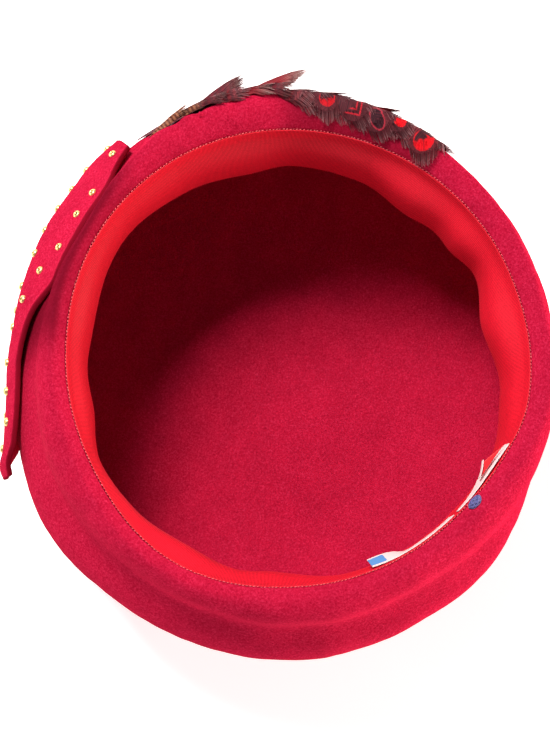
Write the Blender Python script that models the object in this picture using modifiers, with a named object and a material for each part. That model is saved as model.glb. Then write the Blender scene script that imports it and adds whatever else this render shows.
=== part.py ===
"""A red wool-felt church hat, lying on its crown with the head opening up.

The hat is one blocked felt shell with a flat crown, a full shoulder and a rolled brim, widest at
the front, that slopes down to the head opening. A grosgrain sweatband hangs inside the brim, a
studded felt wing wraps the front left side, and a trim of short pheasant feathers wraps the side
beside it and comes over the brim. Two woven labels and a knot of thread sit inside the back.

Frame: metres, +Z up out of the head opening, the origin at the middle of the flat crown that the
hat lies on. Angles run anticlockwise from +X, seen from above. The wearer's front is at 127
degrees and the wearer's back at 307 degrees.
"""

import math

import bmesh
import bpy
import numpy as np
from mathutils import Vector
from mathutils.bvhtree import BVHTree

MM = 0.001

# ---- Driving sizes, in millimetres ----
RIM_HEIGHT = 105.0          # the sweatband's stitching above the flat crown
CROWN_FLAT_RADIUS = 58.0    # the flat that the hat lies on
FELT_WALL = 2.2
BAND_DEPTH = 24.0           # a 25 mm ribbon, leaning in
BAND_WALL = 1.0
BAND_RISE = 0.3             # the ribbon's stitched edge above the rim height
FIT_GAP = 0.35              # between pieces that lie on each other
WING_WALL = 2.5
FEATHER_WALL = 2.2
LABEL_WALL = 0.8
FOLDED_LABEL_WALL = 1.2

BODY_SEGMENTS = 72          # round the hat
WING_COLUMNS = 30
WING_ROWS = 20
FEATHER_COLUMNS = 30
FEATHER_ROWS = 20
LABEL_STEPS = 3             # columns between two sections of a label
STUD_SIDES = 10

# The shell's radius at four levels, and how far the brim's crest rises above the stitching, a row
# for each section.
SECTION_COLUMNS = ("angle", "rim", "crest", "lift", "groove", "shoulder")
SECTIONS = (
    (0, 93.3, 100.5, 2.8, 105.5, 113.5),
    (15, 92.5, 99.8, 2.9, 104.0, 115.5),
    (30, 92.4, 100.8, 3.2, 103.8, 117.5),
    (60, 92.2, 102.2, 3.9, 105.5, 120.0),
    (90, 92.1, 104.4, 5.1, 107.5, 120.5),
    (105, 92.2, 104.2, 5.2, 107.0, 119.7),
    (120, 92.2, 103.0, 4.9, 105.3, 118.5),
    (135, 91.9, 99.8, 3.8, 101.8, 116.7),
    (150, 91.5, 96.5, 2.7, 98.8, 114.5),
    (165, 90.9, 96.7, 2.4, 99.8, 112.5),
    (180, 90.4, 96.0, 2.0, 102.0, 111.5),
    (210, 91.8, 97.3, 2.0, 104.8, 119.0),
    (240, 95.6, 100.6, 1.9, 105.5, 119.0),
    (270, 92.0, 97.5, 2.0, 106.0, 119.5),
    (300, 89.8, 95.3, 2.0, 102.5, 117.0),
    (316, 89.4, 95.4, 2.2, 103.5, 116.5),
    (332, 90.9, 97.9, 2.5, 105.5, 110.0),
    (345, 93.4, 100.6, 2.7, 106.0, 111.5),
)

# The shell's outer profile from its turned edge over the brim's crest to the crown: how far below
# the rim each ring lies, how much of the crest's lift it rises with, and how far it has gone from
# one of the levels above to the next.
PROFILE = (                 # depth, rise, start, end, share
    (2.6, 0.0, "rim", "crest", 0.00),
    (0.3, 0.0, "rim", "crest", 0.02),
    (0.0, 0.5, "rim", "crest", 0.30),
    (0.0, 0.88, "rim", "crest", 0.65),
    (0.0, 1.0, "rim", "crest", 1.00),
    (0.9, 1.0, "crest", "groove", 0.35),
    (2.9, 1.0, "crest", "groove", 0.66),
    (4.0, 0.0, "crest", "groove", 0.90),
    (8.5, 0.0, "crest", "groove", 1.00),
    (14.5, 0.0, "groove", "shoulder", 0.03),
    (18.5, 0.0, "groove", "shoulder", 0.15),
    (23.0, 0.0, "groove", "shoulder", 0.45),
    (28.5, 0.0, "groove", "shoulder", 0.80),
    (36.0, 0.0, "groove", "shoulder", 1.00),
    (46.0, 0.0, "shoulder", "crown", 0.02),
    (57.0, 0.0, "shoulder", "crown", 0.07),
    (69.0, 0.0, "shoulder", "crown", 0.17),
    (80.0, 0.0, "shoulder", "crown", 0.30),
    (90.0, 0.0, "shoulder", "crown", 0.47),
    (97.5, 0.0, "shoulder", "crown", 0.66),
    (102.5, 0.0, "shoulder", "crown", 0.84),
    (105.0, 0.0, "shoulder", "crown", 1.00),
)
SLOPE_RING = 2              # the first ring on the slope inside the crest
CREST_RING = 4

# A stiff trim bridges part of the groove, in a straight line between two depths.
BRIDGE_START = 4.0
BRIDGE_END = 27.0
BRIDGE_SHARE = 0.6
TRIM_LINE_STEPS = 24
TRIM_LINE_END = 75.0        # depth

# The sweatband's free edge, a row for each crest and hollow of its waves.
BAND_WAVES = (              # angle, radius
    (12, 81.2), (27, 86.5), (37, 83.1), (43, 83.6), (54, 81.0), (70, 84.3), (90, 85.3),
    (103, 83.0), (122, 84.8), (141, 86.2), (172, 82.3), (184, 83.3), (193, 82.6),
    (210, 87.7), (224, 87.3), (241, 85.6), (255, 87.0), (265, 85.2), (284, 88.2),
    (312, 88.6), (336, 90.0), (352, 87.2),
)
BAND_SHARES = (0.0, 0.33, 0.66, 1.0)   # rings from the stitched edge to the free edge
BAND_GAP = 0.45
BAND_STRAIGHT = 0.3                    # how much of the ribbon's lean starts at the stitches
BAND_CURL = 1.6                        # how late the rest of it comes

# The felt wing, a row for each section along it: its two edges as depths below the rim, the depth
# above which it leaves the shell and stands straight, and its stand-off from the shell.
WING_TABLE_COLUMNS = ("angle", "top", "bottom", "leaves", "stand_off")
WING_SECTIONS = (
    (127.0, 22.0, 46.0, 22.0, 3.6),
    (133.0, 19.0, 54.0, 19.0, 2.2),
    (140.0, 13.0, 61.0, 12.0, 1.0),
    (150.0, 12.0, 66.0, 12.0, 0.9),
    (160.0, 14.5, 68.0, 14.5, 0.9),
    (165.0, 17.5, 68.3, 20.0, 0.9),
    (170.0, 20.0, 68.0, 26.0, 0.9),
    (180.0, 23.5, 65.0, 32.0, 1.9),
    (190.0, 24.0, 58.0, 34.0, 1.2),
    (197.0, 26.0, 49.0, 34.0, 3.0),
    (200.0, 29.0, 43.0, 34.0, 5.4),
    (202.5, 32.0, 38.0, 34.0, 5.2),
)
WING_LEAN = 0.22            # how far the freed part leans in for each millimetre it rises

# Gold studs: the two upper rows one by one, then even rows on the lower part of the wing's face.
UPPER_STUDS = (             # angle, depth
    (130.5, 25.0), (140.0, 21.0), (146.0, 21.5), (154.5, 21.0), (160.5, 24.5), (167.0, 28.5),
    (172.5, 34.5), (180.0, 34.0), (186.0, 33.0), (192.5, 30.5),
    (129.5, 35.5), (135.5, 36.0), (140.5, 36.0), (145.5, 36.0), (151.0, 33.5), (156.5, 32.0),
    (163.5, 35.5), (168.5, 38.0), (190.5, 39.5), (197.0, 36.5),
)
LOWER_STUD_ROWS = (         # depth, first angle, last angle
    (46.0, 135.0, 193.0),
    (54.5, 141.0, 188.0),
    (63.0, 149.0, 178.0),
)
STUD_PITCH = 13.0
STUD_GAP = 0.45
STUD_RADIUS = 1.65
STUD_HEIGHT = 1.5
STUD_PROFILE = ((0.0, 1.0), (0.62, 0.8), (1.0, 0.3), (1.0, 0.0), (0.0, 0.0))   # radius, height

# The outer form of the feather trim, a row for each section: its two edges as lengths along the
# shell from the brim's crest, less than nothing where it comes over the crest.
FEATHER_TABLE_COLUMNS = ("angle", "top", "bottom")
FEATHER_SECTIONS = (
    (53.0, -3.0, 44.0),
    (57.0, -6.0, 52.0),
    (64.0, -7.0, 62.0),
    (72.0, -7.5, 68.0),
    (80.0, -6.5, 71.0),
    (86.0, -3.0, 72.5),
    (92.0, 1.0, 73.0),
    (100.0, 3.0, 71.0),
    (110.0, 4.5, 64.0),
    (118.0, 7.0, 54.0),
    (122.0, 9.0, 47.0),
)
FEATHER_STAND_OFF = 1.7
FEATHER_CROWDING = 1.6      # how much closer the rows lie over the brim than down the side

# Feathers that stand up from the trim.
FEATHER_TIPS = (            # root and tip, each as angle, radius and depth, then the width
    ((109.0, 123.9, 36.0), (100.5, 129.0, 29.0), 6.5),
    ((97.0, 124.8, 38.0), (88.0, 131.2, 29.0), 8.5),
)
TIP_OUTLINE = (             # share of the length, share of the width
    (0.0, 0.35), (0.2, 0.7), (0.45, 1.0), (0.75, 0.95), (0.92, 0.6), (1.0, 0.3),
)
TIP_SWEEP = 1.4             # how late the feather swings out along its length
TIP_CAMBER = 0.4            # how far the edges bend towards the crown
TIP_WALL = 0.8

# Woven labels inside the back of the brim, a row for each section: the top edge's distance inside
# the rim and its depth, the width of the tape and how far it leans from upright, in degrees.
LABEL_COLUMNS = ("angle", "inside", "depth", "width", "lean")
LONG_LABEL = (
    (288.0, 2.6, 1.6, 9.0, 16.0),
    (293.0, 2.4, 1.2, 9.0, 14.0),
    (298.0, 2.0, 1.0, 9.0, 8.0),
    (303.0, 1.85, 1.0, 9.0, 1.0),
    (310.0, 1.85, 1.0, 9.0, 0.0),
    (316.0, 1.85, 1.0, 9.0, 0.0),
)
FOLDED_LABEL = (
    (318.5, 1.85, 0.8, 6.0, 2.0),
    (323.0, 1.85, 0.6, 8.0, 8.0),
    (328.0, 1.85, 0.6, 9.0, 18.0),
    (332.0, 1.85, 0.6, 7.0, 18.0),
    (336.0, 1.85, 0.6, 3.0, 10.0),
)
KNOT_ANGLE = 319.5
KNOT_INSET = 0.4                    # its middle inside the line of the stitching
KNOT_HALF_SIZES = (2.4, 1.5, 1.3)   # along the rim, across it and up

FELT_RED = (0.62, 0.012, 0.03, 1.0)
RIBBON_RED = (0.68, 0.01, 0.02, 1.0)
FEATHER_BROWN = (0.09, 0.02, 0.018, 1.0)
STUD_GOLD = (0.83, 0.6, 0.25, 1.0)
LABEL_WHITE = (0.85, 0.83, 0.8, 1.0)
THREAD_BLUE = (0.06, 0.08, 0.3, 1.0)


# ---- Tables ----

def smooth_column(rows, names, column, at, period=None):
    """One column of a table at the first column's value `at`, on a smooth curve through its rows."""
    keys = [row[0] for row in rows]
    values = [row[names.index(column)] for row in rows]
    count = len(rows)
    if period:
        at = at % period
        index = max(k for k in range(count) if keys[k] <= at)
        picks = [(index + step) % count for step in (-1, 0, 1, 2)]
        start = keys[index]
        end = keys[index + 1] if index + 1 < count else period + keys[0]
    else:
        at = min(max(at, keys[0]), keys[-1])
        index = min(max(k for k in range(count) if keys[k] <= at), count - 2)
        picks = [min(max(index + step, 0), count - 1) for step in (-1, 0, 1, 2)]
        start, end = keys[index], keys[index + 1]
    before, first, second, after = (values[pick] for pick in picks)
    reach = [keys[pick] for pick in picks]
    if period:
        reach = [start - (start - reach[0]) % period, start, end, end + (reach[3] - end) % period]
    span = end - start
    t = (at - start) / span
    lean_in = (second - before) * span / (end - reach[0])
    lean_out = (after - first) * span / (reach[3] - start)
    return (
        (2 * t**3 - 3 * t**2 + 1) * first
        + (t**3 - 2 * t**2 + t) * lean_in
        + (3 * t**2 - 2 * t**3) * second
        + (t**3 - t**2) * lean_out
    )


def wave_radius(angle):
    """The free edge's radius at an angle: level at each crest and hollow, easing between them."""
    angles = [row[0] for row in BAND_WAVES] + [360 + BAND_WAVES[0][0]]
    radii = [row[1] for row in BAND_WAVES] + [BAND_WAVES[0][1]]
    at = (angle - angles[0]) % 360 + angles[0]
    index = max(k for k in range(len(BAND_WAVES)) if angles[k] <= at)
    t = (at - angles[index]) / (angles[index + 1] - angles[index])
    return radii[index] + (radii[index + 1] - radii[index]) * (3 * t**2 - 2 * t**3)


def level_radius(level, angle):
    """The shell's radius at the rim, the crest, the groove, the shoulder or the edge of the flat crown."""
    if level == "crown":
        return CROWN_FLAT_RADIUS
    return smooth_column(SECTIONS, SECTION_COLUMNS, level, angle, period=360)


def profile_ring(row, angle):
    """Radius and depth of one ring of the shell's outer profile at an angle."""
    depth, rise, start, end, share = row
    first, last = level_radius(start, angle), level_radius(end, angle)
    lift = smooth_column(SECTIONS, SECTION_COLUMNS, "lift", angle, period=360)
    return first + (last - first) * share, depth - rise * lift


def shell_radius(angle, depth):
    """The shell's outer radius at an angle and a depth below the rim, outside the brim's crest."""
    rings = [profile_ring(row, angle) for row in PROFILE[CREST_RING:]]
    return float(np.interp(depth, [ring[1] for ring in rings], [ring[0] for ring in rings]))


def bridged_radius(angle, depth):
    """The shell's outer radius, with the groove bridged the way a stiff trim bridges it."""
    own = shell_radius(angle, depth)
    if not BRIDGE_START < depth < BRIDGE_END:
        return own
    share = (depth - BRIDGE_START) / (BRIDGE_END - BRIDGE_START)
    straight = (1 - share) * shell_radius(angle, BRIDGE_START) + share * shell_radius(angle, BRIDGE_END)
    return max(own, own + BRIDGE_SHARE * (straight - own))


def trim_line(angle, offset):
    """The bridged profile at an angle, moved out square to itself.

    Returns radii, depths and lengths from the brim's crest, less than nothing inside it.
    """
    slope = [profile_ring(row, angle) for row in PROFILE[SLOPE_RING:CREST_RING]]
    crest_depth = profile_ring(PROFILE[CREST_RING], angle)[1]
    depths = crest_depth + np.linspace(0.0, 1.0, TRIM_LINE_STEPS) ** 1.5 * (TRIM_LINE_END - crest_depth)
    line = np.array(slope + [(bridged_radius(angle, depth), depth) for depth in depths])
    lengths = np.concatenate(([0.0], np.cumsum(np.hypot(*np.diff(line, axis=0).T))))
    along = np.gradient(line, axis=0)
    out = np.stack((along[:, 1], -along[:, 0]), 1) / np.hypot(along[:, 0], along[:, 1])[:, None]
    moved = line + offset * out
    return moved[:, 0], moved[:, 1], lengths - lengths[len(slope)]


def trim_point(angle, reach, offset):
    """A point so far from the brim's crest along the shell, and so far outside it."""
    radii, depths, lengths = trim_line(angle, offset)
    return place(angle, float(np.interp(reach, lengths, radii)), float(np.interp(reach, lengths, depths)))


def place(angle, radius, depth):
    """A point in metres from its angle, radius and depth below the rim."""
    turn = math.radians(angle)
    return (radius * math.cos(turn) * MM, radius * math.sin(turn) * MM, (RIM_HEIGHT - depth) * MM)


# ---- Blender helpers ----

def clear_scene():
    for thing in list(bpy.data.objects):
        bpy.data.objects.remove(thing, do_unlink=True)


def new_collection(name):
    collection = bpy.data.collections.new(name)
    bpy.context.scene.collection.children.link(collection)
    return collection


def new_material(name, colour, roughness, metallic=0.0):
    material = bpy.data.materials.new(name)
    material.use_nodes = True
    shader = material.node_tree.nodes["Principled BSDF"]
    shader.inputs["Base Color"].default_value = colour
    shader.inputs["Roughness"].default_value = roughness
    shader.inputs["Metallic"].default_value = metallic
    return material


def add_piece(name, mesh, material, collection):
    mesh.materials.append(material)
    mesh.shade_smooth()
    piece = bpy.data.objects.new(name, mesh)
    collection.objects.link(piece)
    return piece


def sheet_mesh(name, rows, ring=False, floor=False):
    """An open sheet through rows of points. A ring joins each row's ends; a floor closes the last row."""
    mesh = bpy.data.meshes.new(name)
    build = bmesh.new()
    lines = [[build.verts.new(point) for point in row] for row in rows]
    count = len(rows[0])
    for upper, lower in zip(lines, lines[1:]):
        for k in range(count if ring else count - 1):
            after = (k + 1) % count
            build.faces.new((upper[k], lower[k], lower[after], upper[after]))
    if floor:
        build.faces.new(reversed(lines[-1]))
    build.normal_update()
    build.to_mesh(mesh)
    build.free()
    return mesh


def thicken(piece, wall, side):
    """Gives a sheet its wall. Side 1 grows it outwards, side -1 inwards and 0 both ways."""
    solidify = piece.modifiers.new("wall", "SOLIDIFY")
    solidify.thickness = wall * MM
    solidify.offset = side
    solidify.use_even_offset = True
    solidify.use_rim = True


# ---- Pieces ----

def make_felt_body(material, collection):
    """The blocked shell: rings of the outer profile, walled inwards, with a flat crown."""
    angles = [360 * k / BODY_SEGMENTS for k in range(BODY_SEGMENTS)]
    rows = [[place(angle, *profile_ring(row, angle)) for angle in angles] for row in PROFILE]
    body = add_piece("felt_body", sheet_mesh("felt_body", rows, ring=True, floor=True), material, collection)
    thicken(body, FELT_WALL, -1)
    return body


def band_point(angle, share):
    """A point of the sweatband's inner face, from its stitched edge at share 0 to its free edge at 1."""
    stitched = level_radius("rim", angle) - BAND_GAP - BAND_WALL
    lean = wave_radius(angle) - stitched
    leant = BAND_STRAIGHT * share + (1 - BAND_STRAIGHT) * share**BAND_CURL
    return place(angle, stitched + lean * leant, share * BAND_DEPTH - BAND_RISE)


def make_sweatband(material, collection):
    """The ribbon inside the brim, sewn along its top edge and free below."""
    angles = [360 * k / (2 * BODY_SEGMENTS) for k in range(2 * BODY_SEGMENTS)]
    rows = [[band_point(angle, share) for angle in angles] for share in BAND_SHARES]
    band = add_piece("sweatband", sheet_mesh("sweatband", rows, ring=True), material, collection)
    thicken(band, BAND_WALL, 1)
    return band


def wing_value(column, angle):
    return smooth_column(WING_SECTIONS, WING_TABLE_COLUMNS, column, angle)


def wing_radius(angle, depth):
    """The wing's inner face: it follows the shell, and above the level where it leaves it stands straight."""
    leaves = wing_value("leaves", angle)
    held = shell_radius(angle, max(depth, leaves))
    return held - WING_LEAN * max(leaves - depth, 0.0) + wing_value("stand_off", angle)


def wing_point(along, across):
    """A point of the wing's inner face, both shares running from 0 to 1."""
    first, last = WING_SECTIONS[0][0], WING_SECTIONS[-1][0]
    angle = first + (last - first) * along
    top, bottom = wing_value("top", angle), wing_value("bottom", angle)
    depth = top + (bottom - top) * across
    return place(angle, wing_radius(angle, depth), depth)


def make_felt_wing(material, collection):
    """The leaf of felt round the front left side, with its narrow end curled away from the shell."""
    rows = [
        [wing_point(1 - column / (WING_COLUMNS - 1), row / (WING_ROWS - 1)) for column in range(WING_COLUMNS)]
        for row in range(WING_ROWS)
    ]
    mesh = sheet_mesh("felt_wing", rows)
    mesh.flip_normals()
    wing = add_piece("felt_wing", mesh, material, collection)
    thicken(wing, WING_WALL, 1)
    return wing


def stud_places():
    """Angle and depth of each stud."""
    places = list(UPPER_STUDS)
    middle_angle = (WING_SECTIONS[0][0] + WING_SECTIONS[-1][0]) / 2
    step = math.degrees(STUD_PITCH / level_radius("shoulder", middle_angle))
    for depth, first, last in LOWER_STUD_ROWS:
        count = int((last - first) / step) + 1
        places += [(first + step * number, depth) for number in range(count)]
    return places


def face_finder(piece):
    """A search tree of a piece's finished mesh, for seating others on it."""
    graph = bpy.context.evaluated_depsgraph_get()
    return BVHTree.FromObject(piece, graph)


def outer_face(tree, angle, depth):
    """The point on a piece's outer face at an angle and depth, and the normal there."""
    outside = Vector(place(angle, 2 * level_radius("shoulder", angle), depth))
    axis = Vector(place(angle, 0.0, depth))
    point, normal, _, _ = tree.ray_cast(outside, (axis - outside).normalized())
    return point, normal


def stud_mesh():
    """A domed stud on its base at z = 0: a turned quarter profile, closed under the base."""
    mesh = bpy.data.meshes.new("stud")
    build = bmesh.new()
    points = [
        build.verts.new((radius * STUD_RADIUS * MM, 0, height * STUD_HEIGHT * MM))
        for radius, height in STUD_PROFILE
    ]
    edges = [build.edges.new(pair) for pair in zip(points, points[1:])]
    bmesh.ops.spin(
        build, geom=points + edges, cent=(0, 0, 0), axis=(0, 0, 1), angle=2 * math.pi, steps=STUD_SIDES
    )
    bmesh.ops.remove_doubles(build, verts=build.verts, dist=0.00001)
    bmesh.ops.recalc_face_normals(build, faces=build.faces)
    build.to_mesh(mesh)
    build.free()
    return mesh


def make_studs(wing, material, collection):
    """Gold studs on the wing's face, each its own object on one shared mesh."""
    tree = face_finder(wing)
    mesh = stud_mesh()
    mesh.materials.append(material)
    mesh.shade_smooth()
    for number, (angle, depth) in enumerate(stud_places(), 1):
        foot, normal = outer_face(tree, angle, depth)
        stud = bpy.data.objects.new(f"stud_{number:02d}", mesh)
        stud.location = foot + normal * STUD_GAP * MM
        tilt = math.acos(normal[2])
        heading = math.atan2(normal[1], normal[0])
        stud.rotation_euler = (0, tilt, heading)
        collection.objects.link(stud)


def make_feather_trim(material, collection):
    """The outer form of the lying feathers, a thin pad that comes over the brim and bridges the groove."""
    first, last = FEATHER_SECTIONS[0][0], FEATHER_SECTIONS[-1][0]
    rows = []
    for row in range(FEATHER_ROWS):
        line = []
        for column in range(FEATHER_COLUMNS):
            angle = first + (last - first) * column / (FEATHER_COLUMNS - 1)
            top = smooth_column(FEATHER_SECTIONS, FEATHER_TABLE_COLUMNS, "top", angle)
            bottom = smooth_column(FEATHER_SECTIONS, FEATHER_TABLE_COLUMNS, "bottom", angle)
            reach = top + (bottom - top) * (row / (FEATHER_ROWS - 1)) ** FEATHER_CROWDING
            line.append(trim_point(angle, reach, FEATHER_STAND_OFF))
        rows.append(line)
    trim = add_piece("feather_trim", sheet_mesh("feather_trim", rows), material, collection)
    thicken(trim, FEATHER_WALL, 1)
    return trim


def make_feather_tips(material, collection):
    """The feathers that stand up from the trim, as thin leaves that widen and then round off."""
    for number, (root, end, width) in enumerate(FEATHER_TIPS, 1):
        rows = []
        for side in (-1.0, 0.0, 1.0):
            line = []
            for along, share in TIP_OUTLINE:
                angle = root[0] + (end[0] - root[0]) * along
                radius = root[1] + (end[1] - root[1]) * along**TIP_SWEEP - TIP_CAMBER * abs(side)
                depth = root[2] + (end[2] - root[2]) * along + side * width / 2 * share
                line.append(place(angle, radius, depth))
            rows.append(line)
        mesh = sheet_mesh(f"feather_tip_{number}", rows)
        mesh.flip_normals()
        tip = add_piece(f"feather_tip_{number}", mesh, material, collection)
        thicken(tip, TIP_WALL, 1)


def label_rows(sections):
    """Two edges and the middle of a label's tape, from its table."""
    steps = LABEL_STEPS * (len(sections) - 1) + 1
    rows = []
    for across in (0.0, 0.5, 1.0):
        line = []
        for step in range(steps):
            angle = sections[0][0] + (sections[-1][0] - sections[0][0]) * step / (steps - 1)
            inside, depth, width, lean = (
                smooth_column(sections, LABEL_COLUMNS, name, angle) for name in LABEL_COLUMNS[1:]
            )
            lean = math.radians(lean)
            radius = level_radius("rim", angle) - inside - across * width * math.sin(lean)
            line.append(place(angle, radius, depth + across * width * math.cos(lean)))
        rows.append(line)
    return rows


def make_labels(material, collection):
    """The long label along the sweatband and the folded one beside the knot, both left blank."""
    for name, sections, wall in (
        ("label_long", LONG_LABEL, LABEL_WALL),
        ("label_folded", FOLDED_LABEL, FOLDED_LABEL_WALL),
    ):
        label = add_piece(name, sheet_mesh(name, label_rows(sections)), material, collection)
        thicken(label, wall, -1)


def make_thread_knot(material, collection):
    """A knot of thread on the stitched edge of the sweatband."""
    along, across, up = KNOT_HALF_SIZES
    radius = level_radius("rim", KNOT_ANGLE) - KNOT_INSET
    centre = place(KNOT_ANGLE, radius, -(BAND_RISE + FIT_GAP + up))
    build = bmesh.new()
    bmesh.ops.create_uvsphere(build, u_segments=12, v_segments=8, radius=1.0)
    mesh = bpy.data.meshes.new("thread_knot")
    build.to_mesh(mesh)
    build.free()
    for vertex in mesh.vertices:
        vertex.co = (vertex.co.x * across * MM, vertex.co.y * along * MM, vertex.co.z * up * MM)
    knot = add_piece("thread_knot", mesh, material, collection)
    knot.location = centre
    knot.rotation_euler = (0, 0, math.radians(KNOT_ANGLE))
    return knot


def main():
    clear_scene()
    hat = new_collection("church_hat")
    felt = new_material("wool_felt", FELT_RED, 0.95)
    ribbon = new_material("grosgrain_ribbon", RIBBON_RED, 0.6)
    feather = new_material("dyed_feather", FEATHER_BROWN, 0.7)
    gold = new_material("gold_stud", STUD_GOLD, 0.25, 1.0)
    tape = new_material("label_tape", LABEL_WHITE, 0.8)
    thread = new_material("sewing_thread", THREAD_BLUE, 0.8)
    make_felt_body(felt, hat)
    make_sweatband(ribbon, hat)
    wing = make_felt_wing(felt, hat)
    make_studs(wing, gold, hat)
    make_feather_trim(feather, hat)
    make_feather_tips(feather, hat)
    make_labels(tape, hat)
    make_thread_knot(thread, hat)


main()
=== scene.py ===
"""The looks of a red wool-felt church hat, lying on its crown with the head opening up.

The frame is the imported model: metres, +Z up out of the head opening, the origin at the middle of
the flat crown. Places on the hat are given as a turn in degrees, anticlockwise from +X, and a
depth in millimetres below the sweatband's stitching. The wearer's front is at 127 degrees.
"""

import logging
import math
from dataclasses import dataclass, field
from enum import Enum

import bpy
import numpy as np
from mathutils import Matrix, Vector


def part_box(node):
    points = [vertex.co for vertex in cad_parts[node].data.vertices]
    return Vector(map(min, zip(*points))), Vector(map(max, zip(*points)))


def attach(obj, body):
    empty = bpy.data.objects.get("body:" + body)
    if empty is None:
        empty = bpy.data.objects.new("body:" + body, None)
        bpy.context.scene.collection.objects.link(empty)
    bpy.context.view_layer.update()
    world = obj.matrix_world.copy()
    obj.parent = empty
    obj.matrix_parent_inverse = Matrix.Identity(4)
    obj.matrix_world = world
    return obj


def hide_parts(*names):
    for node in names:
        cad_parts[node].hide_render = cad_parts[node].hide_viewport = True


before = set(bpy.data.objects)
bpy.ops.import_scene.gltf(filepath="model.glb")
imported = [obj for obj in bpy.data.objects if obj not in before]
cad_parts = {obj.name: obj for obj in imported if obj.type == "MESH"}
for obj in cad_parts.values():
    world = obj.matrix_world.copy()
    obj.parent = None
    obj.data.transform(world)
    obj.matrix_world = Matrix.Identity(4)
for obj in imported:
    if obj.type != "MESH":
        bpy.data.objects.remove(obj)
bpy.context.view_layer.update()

LOG = logging.getLogger("church_hat")
Array = np.ndarray
Tree = bpy.types.NodeTree
Node = bpy.types.Node
MM = 0.001


# ---- Curves and unevenness ----

def table_curve(
    rows: tuple, column: int, at: Array, period: float | None = None, level: bool = False,
) -> Array:
    """Reads a smooth curve through one column of a table.

    Formula: between two rows, a cubic whose slope at each row is that between its neighbours, or
    nothing where the curve is to be level at each row.

    Args:
        rows: the table, its first column rising.
        column: the column to read.
        at: where to read it, in the first column's unit.
        period: the first column's full round, if the curve is closed.
        level: whether each row is a crest or a hollow.

    Returns:
        The curve's values, in the shape of `at`.
    """
    table = np.array(rows, float)
    keys, values = table[:, 0], table[:, column]
    if period:
        keys = np.concatenate((keys[-2:] - period, keys, keys[:2] + period))
        values = np.concatenate((values[-2:], values, values[:2]))
        at = np.mod(at - keys[2], period) + keys[2]
    slopes = np.zeros_like(values) if level else _chord_slopes(keys, values)
    index = np.clip(np.searchsorted(keys, at, side="right") - 1, 0, len(keys) - 2)
    span = keys[index + 1] - keys[index]
    t = np.clip((at - keys[index]) / span, 0.0, 1.0)
    return (
        (2 * t**3 - 3 * t**2 + 1) * values[index]
        + (t**3 - 2 * t**2 + t) * span * slopes[index]
        + (3 * t**2 - 2 * t**3) * values[index + 1]
        + (t**3 - t**2) * span * slopes[index + 1]
    )


def _chord_slopes(keys: Array, values: Array) -> Array:
    """Slope at each row of a table, between the row's two neighbours, one-sided at the ends."""
    first, last = np.clip(np.arange(len(keys)) + np.array([[-1], [1]]), 0, len(keys) - 1)
    return (values[last] - values[first]) / (keys[last] - keys[first])


def ease(share: Array) -> Array:
    """Goes from 0 to 1 with a level start and end: three times the square less twice the cube."""
    share = np.clip(share, 0.0, 1.0)
    return share * share * (3 - 2 * share)


def bump(distance: Array, reach: float) -> Array:
    """A bell of height 1: e to the minus square of the distance over the reach."""
    return np.exp(-((distance / reach) ** 2))


def wobble(points: Array, size: float, seed: int, waves: int = 20) -> Array:
    """Smooth seeded unevenness of about -1 to 1 over points in space.

    Formula: a mean of cosines, each of the point's distance along its own random direction, with
    a wavelength near `size` and a random start.

    Args:
        points: places, as (..., 3).
        size: the usual width of a lump, in the points' unit.
        seed: the seed of the random directions.
        waves: how many cosines.

    Returns:
        The unevenness, in the shape of the points without their last axis.
    """
    chance = np.random.default_rng(seed)
    ways = chance.normal(size=(waves, 3))
    ways *= math.pi / (np.linalg.norm(ways, axis=1, keepdims=True) * size)
    ways *= chance.uniform(0.6, 1.5, (waves, 1))
    starts = chance.uniform(0, 2 * math.pi, waves)
    return np.cos(points @ ways.T + starts).sum(-1) * math.sqrt(2 / waves) * 0.6


def unit(vectors: Array) -> Array:
    """The vectors at length 1."""
    return vectors / np.maximum(np.linalg.norm(vectors, axis=-1, keepdims=True), 1e-12)


# ---- The hat's form ----

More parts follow.
